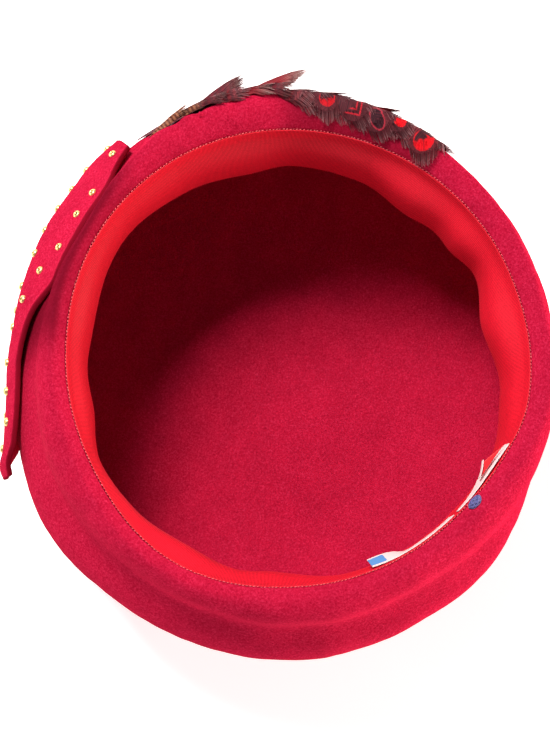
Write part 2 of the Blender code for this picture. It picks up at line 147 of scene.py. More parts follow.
@dataclass(frozen=True)
class HatForm:
    """The blocked form that every piece is laid on. Sizes are in millimetres, turns in degrees."""

    rim_height: float = 105.0
    crown_radius: float = 58.0
    wall: float = 2.2
    edge_wall: float = 0.9
    crest_ring: int = 4
    # Turn, then the radius at the stitching, the brim's crest, the groove and the shoulder, and how
    # far the crest rises above the stitching.
    sections: tuple = (
        (0, 93.3, 100.5, 105.5, 113.5, 2.8), (15, 92.5, 99.8, 104.0, 115.5, 2.9),
        (30, 92.4, 100.8, 103.8, 117.5, 3.2), (60, 92.2, 102.2, 105.5, 120.0, 3.9),
        (90, 92.1, 104.4, 107.5, 120.5, 5.1), (105, 92.2, 104.2, 107.0, 119.7, 5.2),
        (120, 92.2, 103.0, 105.3, 118.5, 4.9), (135, 91.9, 99.8, 101.8, 116.7, 3.8),
        (150, 91.5, 96.5, 98.8, 114.5, 2.7), (165, 90.9, 96.7, 99.8, 112.5, 2.4),
        (180, 90.4, 96.0, 102.0, 111.5, 2.0), (210, 91.8, 97.3, 104.8, 119.0, 2.0),
        (240, 95.6, 100.6, 105.5, 119.0, 1.9), (270, 92.0, 97.5, 106.0, 119.5, 2.0),
        (300, 89.8, 95.3, 102.5, 117.0, 2.0), (316, 89.4, 95.4, 103.5, 116.5, 2.2),
        (332, 90.9, 97.9, 105.5, 110.0, 2.5), (345, 93.4, 100.6, 106.0, 111.5, 2.7),
    )
    # Rings from the turned edge over the crest to the crown: depth, how much of the lift the ring
    # rises with, the two levels that it lies between, and its share of the way.
    profile: tuple = (
        (2.6, 0.0, "rim", "crest", 0.00), (0.3, 0.0, "rim", "crest", 0.02),
        (0.0, 0.5, "rim", "crest", 0.30), (0.0, 0.88, "rim", "crest", 0.65),
        (0.0, 1.0, "rim", "crest", 1.00), (0.9, 1.0, "crest", "groove", 0.35),
        (2.9, 1.0, "crest", "groove", 0.66), (4.0, 0.0, "crest", "groove", 0.90),
        (8.5, 0.0, "crest", "groove", 1.00), (14.5, 0.0, "groove", "shoulder", 0.03),
        (18.5, 0.0, "groove", "shoulder", 0.15), (23.0, 0.0, "groove", "shoulder", 0.45),
        (28.5, 0.0, "groove", "shoulder", 0.80), (36.0, 0.0, "groove", "shoulder", 1.00),
        (46.0, 0.0, "shoulder", "crown", 0.02), (57.0, 0.0, "shoulder", "crown", 0.07),
        (69.0, 0.0, "shoulder", "crown", 0.17), (80.0, 0.0, "shoulder", "crown", 0.30),
        (90.0, 0.0, "shoulder", "crown", 0.47), (97.5, 0.0, "shoulder", "crown", 0.66),
        (102.5, 0.0, "shoulder", "crown", 0.84), (105.0, 0.0, "shoulder", "crown", 1.00),
    )
    # Where the trims' stitches and the hand have dented or raised the felt: turn, depth, reach in
    # degrees, reach in depth, and height.
    dents: tuple = (
        (344.0, 24.0, 5.0, 7.0, 0.6), (325.0, 22.0, 4.0, 6.0, 0.5), (118.4, 4.0, 1.3, 8.0, -2.2),
        (112.6, 3.0, 1.2, 8.0, -1.8), (104.4, 2.0, 1.3, 8.0, -1.6), (97.0, 2.0, 6.0, 7.0, 1.3),
        (124.0, 4.0, 3.2, 8.0, 1.7), (115.4, 3.0, 1.6, 7.0, 0.6), (312.0, 12.0, 18.0, 6.0, 1.6),
        (330.0, 25.0, 9.0, 11.0, 2.0), (210.0, 11.0, 14.0, 6.0, 1.4),
    )
    # Soft creases outside the crest: first turn, last turn, depth, reach in depth and height.
    creases: tuple = (
        (196.0, 262.0, 9.0, 3.0, 0.25), (10.0, 52.0, 8.0, 3.0, 0.2), (276.0, 318.0, 24.0, 4.0, -0.3),
    )

    def level(self, name: str, turn: Array) -> Array:
        """The radius of a level, or the crest's lift.

        Args:
            name: rim, crest, groove, shoulder, crown or lift.
            turn: turns in degrees.

        Returns:
            Its values in millimetres.
        """
        if name == "crown":
            return np.full_like(turn, self.crown_radius)
        column = ("turn", "rim", "crest", "groove", "shoulder", "lift").index(name)
        return table_curve(self.sections, column, turn, period=360.0)

    def rings(self, turn: Array) -> tuple[Array, Array]:
        """The radius and the depth of every ring of the profile.

        Args:
            turn: turns in degrees, as (n,).

        Returns:
            Radii and depths in millimetres, each as (rings, n).
        """
        levels = {name: self.level(name, turn) for name in ("rim", "crest", "groove", "shoulder", "crown")}
        lift = self.level("lift", turn)
        radii = [levels[a] + (levels[b] - levels[a]) * share for _, _, a, b, share in self.profile]
        depths = [depth - rise * lift for depth, rise, _, _, _ in self.profile]
        return np.array(radii), np.array(depths)

    @staticmethod
    def between(rings: Array, run: Array) -> Array:
        """Reads rings at fractional ring numbers.

        Formula: a Catmull-Rom cubic through the four rings around each number.

        Args:
            rings: a value for each ring and point, as (rings, n).
            run: the ring number of each point, as (n,).

        Returns:
            The values, as (n,).
        """
        last = len(rings) - 1
        index = np.clip(run.astype(int), 0, last - 1)
        column = np.arange(rings.shape[1])
        before, first, second, after = (rings[np.clip(index + k, 0, last), column] for k in (-1, 0, 1, 2))
        t = run - index
        return (
            (2 * t**3 - 3 * t**2 + 1) * first
            + (t**3 - 2 * t**2 + t) * (second - before) / 2
            + (3 * t**2 - 2 * t**3) * second
            + (t**3 - t**2) * (after - first) / 2
        )

    def at_run(self, turn: Array, run: Array) -> tuple[Array, Array]:
        """Radii and depths at turns and fractional ring numbers, in their shape."""
        turn, run = np.broadcast_arrays(turn, run)
        radii, depths = self.rings(turn.ravel())
        return (
            self.between(radii, run.ravel()).reshape(turn.shape),
            self.between(depths, run.ravel()).reshape(turn.shape),
        )

    def run_at(self, turn: Array, depth: Array) -> Array:
        """The fractional ring number at a depth, outside the crest.

        Formula: depth grows with the ring number there, so the number is closed in on by halving
        the span that holds it.

        Args:
            turn: turns in degrees, as (n,).
            depth: depths in millimetres, as (n,).

        Returns:
            Ring numbers, as (n,).
        """
        low = np.full(turn.shape, float(self.crest_ring))
        high = np.full(turn.shape, float(len(self.profile) - 1))
        depths = self.rings(turn)[1]
        for _ in range(18):
            middle = (low + high) / 2
            above = self.between(depths, middle) < depth
            low = np.where(above, middle, low)
            high = np.where(above, high, middle)
        return (low + high) / 2

    def radius(self, turn: Array, depth: Array) -> Array:
        """The felt's outer radius outside the crest.

        Args:
            turn: turns in degrees.
            depth: depths in millimetres, in the same shape.

        Returns:
            Radii in millimetres, in that shape.
        """
        turn, depth = np.broadcast_arrays(turn, depth)
        flat_turn = turn.ravel()
        run = self.run_at(flat_turn, depth.ravel())
        return self.between(self.rings(flat_turn)[0], run).reshape(turn.shape)

    def bridged(self, turn: Array, depth: Array, start: float = 4.0, end: float = 27.0) -> Array:
        """The radius of a stiff trim, which bridges six tenths of the groove in a straight line.

        Args:
            turn: turns in degrees.
            depth: depths in millimetres.
            start: the depth where the bridge starts.
            end: the depth where it ends.

        Returns:
            Radii in millimetres.
        """
        own = self.radius(turn, depth)
        share = np.clip((depth - start) / (end - start), 0.0, 1.0)
        line = (1 - share) * self.radius(turn, np.full_like(depth, start))
        line = line + share * self.radius(turn, np.full_like(depth, end))
        inside = (depth > start) & (depth < end)
        return np.where(inside, np.maximum(own, own + 0.6 * (line - own)), own)

    def relief(self, turn: Array, depth: Array) -> Array:
        """How far the felt stands proud of the form, in millimetres.

        Formula: a bell for each dent, and for each crease a bell across its depth that fades in
        and out over its turns.

        Args:
            turn: turns in degrees.
            depth: depths in millimetres.

        Returns:
            Heights in their shape.
        """
        height = np.zeros_like(depth)
        for at, deep, reach, reach_deep, rise in self.dents:
            away = np.mod(turn - at + 180.0, 360.0) - 180.0
            height = height + rise * bump(away, reach) * bump(depth - deep, reach_deep)
        for first, last, deep, reach, rise in self.creases:
            middle, half = (first + last) / 2, (last - first) / 2
            away = np.abs(np.mod(turn - middle + 180.0, 360.0) - 180.0) / half
            slant = 2.0 * np.sin(np.radians(4.0 * (turn - middle)))
            height = height + rise * ease(1.6 * (1 - away)) * bump(depth - deep - slant, reach)
        return height

    def place(self, turn: Array, radius: Array, depth: Array) -> Array:
        """Points in metres from turns in degrees, radii and depths in millimetres."""
        angle = np.radians(turn)
        return np.stack(
            np.broadcast_arrays(radius * np.cos(angle), radius * np.sin(angle), self.rim_height - depth), -1
        ) * MM


FORM = HatForm()


# ---- Meshes ----

@dataclass
class Surface:
    """A mesh worked out as arrays: points in metres, faces as arrays of quads or triangles."""

    points: Array
    faces: list[Array]
    uv: Array | None = None
    marks: dict[str, Array] = field(default_factory=dict)

    def turned_out(self) -> "Surface":
        """The same closed surface with its faces pointing out.

        Formula: the sum over its faces of the triple product of their corners is six times the
        volume inside, and is negative where they point in.

        Returns:
            The surface itself.
        """
        volume = 0.0
        for faces in self.faces:
            a, b, c = (self.points[faces[:, k]] for k in (0, 1, 2))
            volume += float(np.einsum("ij,ij->", a, np.cross(b, c)))
            if faces.shape[1] == 4:
                d = self.points[faces[:, 3]]
                volume += float(np.einsum("ij,ij->", a, np.cross(c, d)))
        if volume < 0:
            self.faces = [faces[:, ::-1] for faces in self.faces]
        return self

    def mesh(self, name: str) -> bpy.types.Mesh:
        """Puts the arrays into a Blender mesh.

        Args:
            name: the mesh's name.

        Returns:
            The mesh, shaded smooth, with its UV map and attributes.
        """
        made = bpy.data.meshes.new(name)
        corners = np.concatenate([faces.ravel() for faces in self.faces]).astype(np.int32)
        sizes = np.concatenate([np.full(len(faces), faces.shape[1]) for faces in self.faces])
        starts = np.concatenate(([0], np.cumsum(sizes)[:-1])).astype(np.int32)
        made.vertices.add(len(self.points))
        made.vertices.foreach_set("co", self.points.astype(np.float32).ravel())
        made.loops.add(len(corners))
        made.loops.foreach_set("vertex_index", corners)
        made.polygons.add(len(sizes))
        made.polygons.foreach_set("loop_start", starts)
        made.update(calc_edges=True)
        made.validate()
        if self.uv is not None:
            layer = made.uv_layers.new(name="UVMap")
            layer.uv.foreach_set("vector", self.uv[corners].astype(np.float32).ravel())
        for mark, values in self.marks.items():
            attribute = made.attributes.new(mark, "FLOAT", "POINT")
            attribute.data.foreach_set("value", values.astype(np.float32).ravel())
        made.shade_smooth()
        return made


def joined(surfaces: list[Surface]) -> Surface:
    """Several surfaces as one, each with its own points.

    Args:
        surfaces: the surfaces, all with a UV map and the same marks.

    Returns:
        One surface that holds them all.
    """
    offsets = np.cumsum([0] + [len(surface.points) for surface in surfaces[:-1]])
    faces = [faces + offset for surface, offset in zip(surfaces, offsets) for faces in surface.faces]
    return Surface(
        np.concatenate([surface.points for surface in surfaces]),
        faces,
        np.concatenate([surface.uv for surface in surfaces]),
        {mark: np.concatenate([surface.marks[mark] for surface in surfaces]) for mark in surfaces[0].marks},
    )


def quads(numbers: Array, around: bool = False, closed: bool = False) -> Array:
    """The faces of a grid of point numbers.

    Args:
        numbers: point numbers, as (..., rows, columns).
        around: whether the last column meets the first.
        closed: whether the last row meets the first.

    Returns:
        Quads, as (faces, 4).
    """
    if around:
        numbers = np.concatenate((numbers, numbers[..., :1]), -1)
    if closed:
        numbers = np.concatenate((numbers, numbers[..., :1, :]), -2)
    corners = (numbers[..., :-1, :-1], numbers[..., 1:, :-1], numbers[..., 1:, 1:], numbers[..., :-1, 1:])
    return np.stack(corners, -1).reshape(-1, 4)


def grid_normals(grid: Array, around: bool = False) -> Array:
    """The unit normal at each point of a grid.

    Formula: the grid's direction along its rows' numbers, crossed with that along its columns'.

    Args:
        grid: points, as (rows, columns, 3).
        around: whether the last column meets the first.

    Returns:
        The normals, in the grid's shape.
    """
    if around:
        padded = np.concatenate((grid[:, -1:], grid, grid[:, :1]), 1)
        across = padded[:, 2:] - padded[:, :-2]
    else:
        across = np.gradient(grid, axis=1)
    return unit(np.cross(np.gradient(grid, axis=0), across))


def leaf(middle: Array, thickness: Array, around: bool = False) -> Surface:
    """A closed sheet about a middle surface.

    Formula: two faces half the thickness either side of the middle along its normal, sharing the
    points of its edge, where the thickness is nothing.

    Args:
        middle: the middle surface in metres, as (rows, columns, 3).
        thickness: the thickness in metres, as (rows, columns), 0 along the edge.
        around: whether the sheet closes on itself along its columns.

    Returns:
        The sheet, with a UV of (row share, column share).
    """
    rows, columns = middle.shape[:2]
    lift = grid_normals(middle, around) * thickness[..., None] / 2
    edge = np.zeros((rows, columns), bool)
    edge[[0, -1]] = True
    if not around:
        edge[:, [0, -1]] = True
    front = np.arange(rows * columns).reshape(rows, columns)
    back = front.copy()
    back[~edge] = rows * columns + np.arange((~edge).sum())
    points = np.concatenate(((middle + lift).reshape(-1, 3), (middle - lift)[~edge]))
    points[front[edge]] = middle[edge]
    share = np.stack(np.meshgrid(np.linspace(0, 1, rows), np.linspace(0, 1, columns), indexing="ij"), -1)
    uv = np.concatenate((share.reshape(-1, 2), share[~edge]))
    return Surface(points, [quads(front, around), quads(back, around)[:, ::-1]], uv).turned_out()


def tube(path: Array, radius: Array, sides: int, closed: bool = False) -> Surface:
    """A round tube along a path.

    Formula: at each point of the path a circle about it, square to the path, turned so that it
    starts at the direction nearest +Z.

    Args:
        path: the centre line in metres, as (n, 3).
        radius: the radius at each point in metres, as (n,).
        sides: points round the tube.
        closed: whether the path's end meets its start.

    Returns:
        The tube, with a UV of (share along, share around).
    """
    if closed:
        ahead = np.roll(path, -1, 0) - np.roll(path, 1, 0)
    else:
        ahead = np.gradient(path, axis=0)
    ahead = unit(ahead)
    first = unit(np.cross(ahead, np.array([0.0, 0.0, 1.0]) + 1e-4))
    second = np.cross(ahead, first)
    angle = np.linspace(0, 2 * math.pi, sides, endpoint=False)
    circle = np.cos(angle)[None, :, None] * first[:, None] + np.sin(angle)[None, :, None] * second[:, None]
    points = path[:, None] + circle * radius[:, None, None]
    numbers = np.arange(points[..., 0].size).reshape(points.shape[:2])
    faces = [quads(numbers, around=True, closed=closed)]
    if not closed:
        faces += [numbers[:1, ::-1], numbers[-1:]]
    share = np.stack(np.meshgrid(np.linspace(0, 1, len(path)), np.linspace(0, 1, sides), indexing="ij"), -1)
    return Surface(points.reshape(-1, 3), faces, share.reshape(-1, 2)).turned_out()


def edged(length: float, rounding: float, steps: int, inner: int) -> Array:
    """Distances along a side, close together at both ends, where the edge is rounded.

    Formula: at each end the sine steps of a quarter circle, and even steps between.

    Args:
        length: the side's length.
        rounding: how far in from the end the rounding reaches.
        steps: steps over each rounding.
        inner: steps between them.

    Returns:
        The distances, from 0 to `length`.
    """
    quarter = rounding * (1 - np.cos(np.linspace(0, math.pi / 2, steps + 1)))
    middle = np.linspace(rounding, length - rounding, inner + 1)[1:-1]
    return np.concatenate((quarter, middle, length - quarter[::-1]))


def rounded_thickness(inset: Array, thickness: float, rounding: float, square: float = 2.0) -> Array:
    """The thickness at a distance in from a sheet's edge.

    Formula: a superellipse quarter, from nothing at the edge to the full thickness at `rounding`,
    with `square` as its power.
    """
    share = 1 - np.clip(inset / rounding, 0.0, 1.0)
    return thickness * (1 - share**square) ** (1 / square)


def add_piece(name: str, surface: Surface, finish: "Finish") -> bpy.types.Object:
    """Makes a piece of the hat, rides it on the one body and reports it.

    Args:
        name: the piece's name.
        surface: its mesh.
        finish: its material.

    Returns:
        The piece.
    """
    mesh = surface.mesh(name)
    mesh.materials.append(finish.material())
    piece = bpy.data.objects.new(name, mesh)
    bpy.context.scene.collection.objects.link(piece)
    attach(piece, "root")
    LOG.info("%s: %d points, %d faces", name, len(mesh.vertices), len(mesh.polygons))
    return piece


# ---- Finishes ----

def linear(code: str) -> tuple[float, float, float, float]:
    """An sRGB hex colour as a linear one."""
    channels = [int(code[k:k + 2], 16) / 255 for k in (1, 3, 5)]
    return (*(c / 12.92 if c <= 0.04045 else ((c + 0.055) / 1.055) ** 2.4 for c in channels), 1.0)


def per_mm(size: float) -> float:
    """The texture scale that makes a pattern of so many millimetres."""
    return 1 / (size * MM)


def add_node(
    tree: Tree, kind: str, inputs: dict | None = None, stops: tuple = (), **settings: object
) -> Node:
    """Adds a node with its settings, its inputs' values and its links.

    Args:
        tree: the material's node tree.
        kind: the node's type, without "ShaderNode" before it.
        inputs: by socket name or number, the value that it holds or the output that feeds it.
        stops: for a colour ramp, its places and hex colours.
        **settings: the node's own properties.

    Returns:
        The node.
    """
    node = tree.nodes.new("ShaderNode" + kind)
    for name, value in settings.items():
        setattr(node, name, value)
    for name, value in (inputs or {}).items():
        if isinstance(value, bpy.types.NodeSocket):
            tree.links.new(value, node.inputs[name])
        else:
            node.inputs[name].default_value = value
    for number, (place, code) in enumerate(stops):
        elements = node.color_ramp.elements
        element = elements[number] if number < 2 else elements.new(place)
        element.position = place
        element.color = linear(code)
    return node


@dataclass(frozen=True)
class Finish:
    """A material built from nodes. Each kind says in `dress` how its surface comes about."""

    name: str

    def material(self) -> bpy.types.Material:
        """The finish's material, made once."""
        made = bpy.data.materials.get(self.name)
        if made is None:
            made = bpy.data.materials.new(self.name)
            made.use_nodes = True
            self.dress(made.node_tree, made.node_tree.nodes["Principled BSDF"])
        return made

    def dress(self, tree: Tree, shader: Node) -> None:
        """Builds its nodes.

        Args:
            tree: the material's node tree.
            shader: its Principled BSDF.
        """
        raise NotImplementedError


@dataclass(frozen=True)
class WoolFelt(Finish):
    """Blocked wool felt, fulled and lightly brushed.

    Matted fibres give it a soft speckle of lighter nap and darker pits, a mottle where the hand has pressed
    it, no gloss, and a faint pink sheen where the nap is seen edge-on. Two marks paint shade into its colour:
    a darker red along the wing's cut edges, and a dark red with no sheen beside the wing and below the
    feathers.
    """

    pit: str = "#940c28"
    body: str = "#b01636"
    nap: str = "#c8284c"
    cut_edge_shade_colour: str = "#7c0e22"  # painted shade along the wing's cut edges: a darker red that stands in for the shade they lie in
    painted_shade_colour: str = "#5a0a1a"  # painted shade: a dark red that stands in for the shade beside the wing and below the feathers
    sheen: str = "#ff5468"
    speckle: float = 0.8  # millimetres between specks, coarser than single fibres so that they show
    mottle: float = 14.0
    fibre_height: float = 0.3

    def dress(self, tree: Tree, shader: Node) -> None:
        """Builds its nodes."""
        place = add_node(tree, "TexCoord").outputs["Object"]
        speck = add_node(
            tree, "TexNoise",
            {
                "Vector": place, "Scale": per_mm(self.speckle), "Detail": 3.0, "Roughness": 0.65,
                "Distortion": 0.6,
            },
        ).outputs["Fac"]
        mottle = add_node(
            tree, "TexNoise",
            {"Vector": place, "Scale": per_mm(self.mottle), "Detail": 4.0, "Roughness": 0.6},
        ).outputs["Fac"]
        fine = add_node(
            tree, "TexNoise",
            {"Vector": place, "Scale": per_mm(self.speckle * 0.45), "Detail": 2.0, "Distortion": 1.5},
        ).outputs["Fac"]
        shade = add_node(
            tree, "ValToRGB", {"Fac": speck}, ((0.28, self.pit), (0.72, self.nap), (0.5, self.body)),
        ).outputs["Color"]
        worn = add_node(
            tree, "MapRange",
            {"Value": mottle, "From Min": 0.3, "From Max": 0.7, "To Min": 0.9, "To Max": 1.08},
        ).outputs["Result"]
        toned = add_node(tree, "HueSaturation", {"Color": shade, "Value": worn}).outputs["Color"]
        # Painted shade along the wing's cut edges: the colour goes to a darker red there.
        cut_edge_shade = add_node(tree, "Attribute", attribute_name="cut_edge_shade").outputs["Fac"]
        edged_shade = add_node(
            tree, "Mix", {0: cut_edge_shade, 6: toned, 7: linear(self.cut_edge_shade_colour)}, data_type="RGBA",
        ).outputs[2]
        # Painted shade: where the shell's mark asks, the colour goes to a dark red that stands in for the
        # shade beside the wing and below the feathers.
        painted_shade = add_node(tree, "Attribute", attribute_name="painted_shade").outputs["Fac"]
        painted_shade_mixed = add_node(
            tree, "Mix", {0: painted_shade, 6: edged_shade, 7: linear(self.painted_shade_colour)}, data_type="RGBA",
        ).outputs[2]
        tree.links.new(painted_shade_mixed, shader.inputs["Base Color"])
        coarse = add_node(
            tree, "Bump", {"Height": speck, "Strength": 0.6, "Distance": self.fibre_height * MM},
        ).outputs["Normal"]
        nap = add_node(
            tree, "Bump",
            {"Height": fine, "Strength": 0.6, "Distance": self.fibre_height * 0.6 * MM, "Normal": coarse},
        ).outputs["Normal"]
        tree.links.new(nap, shader.inputs["Normal"])
        shader.inputs["Roughness"].default_value = 0.95
        shader.inputs["Specular IOR Level"].default_value = 0.0
        # The sheen goes to nothing where the shade is painted.
        standing = add_node(
            tree, "MapRange", {"Value": painted_shade, "From Max": 0.6, "To Min": 0.12, "To Max": 0.0},
        ).outputs["Result"]
        tree.links.new(standing, shader.inputs["Sheen Weight"])
        shader.inputs["Sheen Roughness"].default_value = 0.45
        shader.inputs["Sheen Tint"].default_value = linear(self.sheen)


@dataclass(frozen=True)
class Grosgrain(Finish):
    """Rayon grosgrain ribbon, woven with a heavy filling.

    Its cross ribs are in the mesh, and its colour is painted darker in the grooves between them as shade,
    mixed with the yarn's random tone. The smooth yarns give each rib a soft sheen, and a weave finer than the
    ribs breaks it up.
    """

    # The colour goes from painted shade in the grooves between the ribs to the plain red on their crests.
    groove: str = "#b0041a"
    crest: str = "#ff243c"
    sheen: str = "#ff6070"
    yarn: float = 0.3

    def dress(self, tree: Tree, shader: Node) -> None:
        """Builds its nodes."""
        rib = add_node(tree, "Attribute", attribute_name="rib").outputs["Fac"]
        place = add_node(tree, "TexCoord").outputs["Object"]
        yarn = add_node(
            tree, "TexNoise", {"Vector": place, "Scale": per_mm(self.yarn), "Detail": 2.0},
        ).outputs["Fac"]
        tone = add_node(tree, "Math", {0: rib, 1: yarn}, operation="MULTIPLY").outputs[0]
        # Painted shade: darker in the grooves between the ribs, following the rib mark and the yarn's tone.
        shade = add_node(
            tree, "ValToRGB", {"Fac": tone}, ((0.1, self.groove), (0.42, self.crest)),
        ).outputs["Color"]
        tree.links.new(shade, shader.inputs["Base Color"])
        weave = add_node(
            tree, "Bump", {"Height": yarn, "Strength": 0.25, "Distance": 0.08 * MM},
        ).outputs["Normal"]
        tree.links.new(weave, shader.inputs["Normal"])
        shader.inputs["Roughness"].default_value = 0.55
        shader.inputs["Specular IOR Level"].default_value = 0.25
        shader.inputs["Sheen Weight"].default_value = 0.12
        shader.inputs["Sheen Roughness"].default_value = 0.35
        shader.inputs["Sheen Tint"].default_value = linear(self.sheen)


@dataclass(frozen=True)
class SewingThread(Finish):
    """Spun polyester thread: two plies that catch the light along their twist."""

    shade: str
    ply: float = 0.5

    def dress(self, tree: Tree, shader: Node) -> None:
        """Builds its nodes."""
        place = add_node(tree, "TexCoord").outputs["Object"]
        twist = add_node(
            tree, "TexNoise", {"Vector": place, "Scale": per_mm(self.ply), "Detail": 1.0, "Distortion": 1.0},
        ).outputs["Fac"]
        toned = add_node(
            tree, "HueSaturation",
            {"Color": linear(self.shade), "Value": add_node(
                tree, "MapRange",
                {"Value": twist, "From Min": 0.3, "From Max": 0.7, "To Min": 0.65, "To Max": 1.3},
            ).outputs["Result"]},
        ).outputs["Color"]
        tree.links.new(toned, shader.inputs["Base Color"])
        shader.inputs["Roughness"].default_value = 0.6
        shader.inputs["Sheen Weight"].default_value = 0.3


@dataclass(frozen=True)
class GoldPlate(Finish):
    """Gold-coloured plating on pressed brass: bright, with fine scuffs that spread its glints."""

    shade: str = "#ffe9a8"
    scuffed: str = "#e8b860"
    worn: str = "#6a5a24"  # painted dark reflection in the dimple, and painted shade at the stud's foot
    scuff: float = 0.4

    def dress(self, tree: Tree, shader: Node) -> None:
        """Builds its nodes."""
        place = add_node(tree, "TexCoord").outputs["Object"]
        scuffs = add_node(
            tree, "TexNoise", {"Vector": place, "Scale": per_mm(self.scuff), "Detail": 4.0, "Roughness": 0.7},
        ).outputs["Fac"]
        dull = add_node(
            tree, "MapRange",
            {"Value": scuffs, "From Min": 0.35, "From Max": 0.75, "To Min": 0.28, "To Max": 0.45},
        ).outputs["Result"]
        shade = add_node(
            tree, "ValToRGB", {"Fac": scuffs}, ((0.3, self.scuffed), (0.7, self.shade)),
        ).outputs["Color"]
        # Painted dark reflection in each stud's dimple, and painted shade at its foot, where the profile's
        # mark asks.
        dark_reflection = add_node(tree, "Attribute", attribute_name="dark_reflection").outputs["Fac"]
        with_dark_reflection = add_node(
            tree, "Mix", {0: dark_reflection, 6: shade, 7: linear(self.worn)}, data_type="RGBA",
        ).outputs[2]
        tree.links.new(with_dark_reflection, shader.inputs["Base Color"])
        tree.links.new(dull, shader.inputs["Roughness"])
        shader.inputs["Metallic"].default_value = 0.9


@dataclass(frozen=True)
class LabelTape(Finish):
    """White satin label tape with a plain woven stripe at one end, and nothing written on it."""

    tape: str = "#f0dcd8"
    stripe: str = "#4f93d2"
    stripe_start: float = 0.0
    stripe_end: float = 0.17
    weave: float = 0.35

    def dress(self, tree: Tree, shader: Node) -> None:
        """Builds its nodes."""
        map_uv = add_node(tree, "UVMap", uv_map="UVMap").outputs["UV"]
        split = add_node(tree, "SeparateXYZ", {"Vector": map_uv})
        after = add_node(
            tree, "Math", {0: split.outputs["Y"], 1: self.stripe_start}, operation="GREATER_THAN",
        ).outputs[0]
        before = add_node(
            tree, "Math", {0: split.outputs["Y"], 1: self.stripe_end}, operation="LESS_THAN",
        ).outputs[0]
        margin = add_node(
            tree, "Math", {0: split.outputs["X"], 1: 0.5, 2: 0.27}, operation="COMPARE",
        ).outputs[0]
        along = add_node(tree, "Math", {0: after, 1: before}, operation="MULTIPLY").outputs[0]
        striped = add_node(tree, "Math", {0: along, 1: margin}, operation="MULTIPLY").outputs[0]
        shade = add_node(
            tree, "Mix", {0: striped, 6: linear(self.tape), 7: linear(self.stripe)}, data_type="RGBA",
        ).outputs[2]
        tree.links.new(shade, shader.inputs["Base Color"])
        place = add_node(tree, "TexCoord").outputs["Object"]
        threads = add_node(
            tree, "TexNoise", {"Vector": place, "Scale": per_mm(self.weave), "Detail": 1.0},
        ).outputs["Fac"]
        bumps = add_node(
            tree, "Bump", {"Height": threads, "Strength": 0.3, "Distance": 0.08 * MM},
        ).outputs["Normal"]
        tree.links.new(bumps, shader.inputs["Normal"])
        shader.inputs["Roughness"].default_value = 0.5
        shader.inputs["Sheen Weight"].default_value = 0.2


class Marking(Enum):
    """The markings of the pheasant feathers in the trim."""

    EYE = "eye"
    BIG_EYE = "big_eye"
    SPOT = "spot"
    RING = "ring"
    CHEVRON = "chevron"
    BARRED = "barred"
    RED_STREAKED = "red_streaked"
    BROWN_BARRED = "brown_barred"
    PLAIN = "plain"


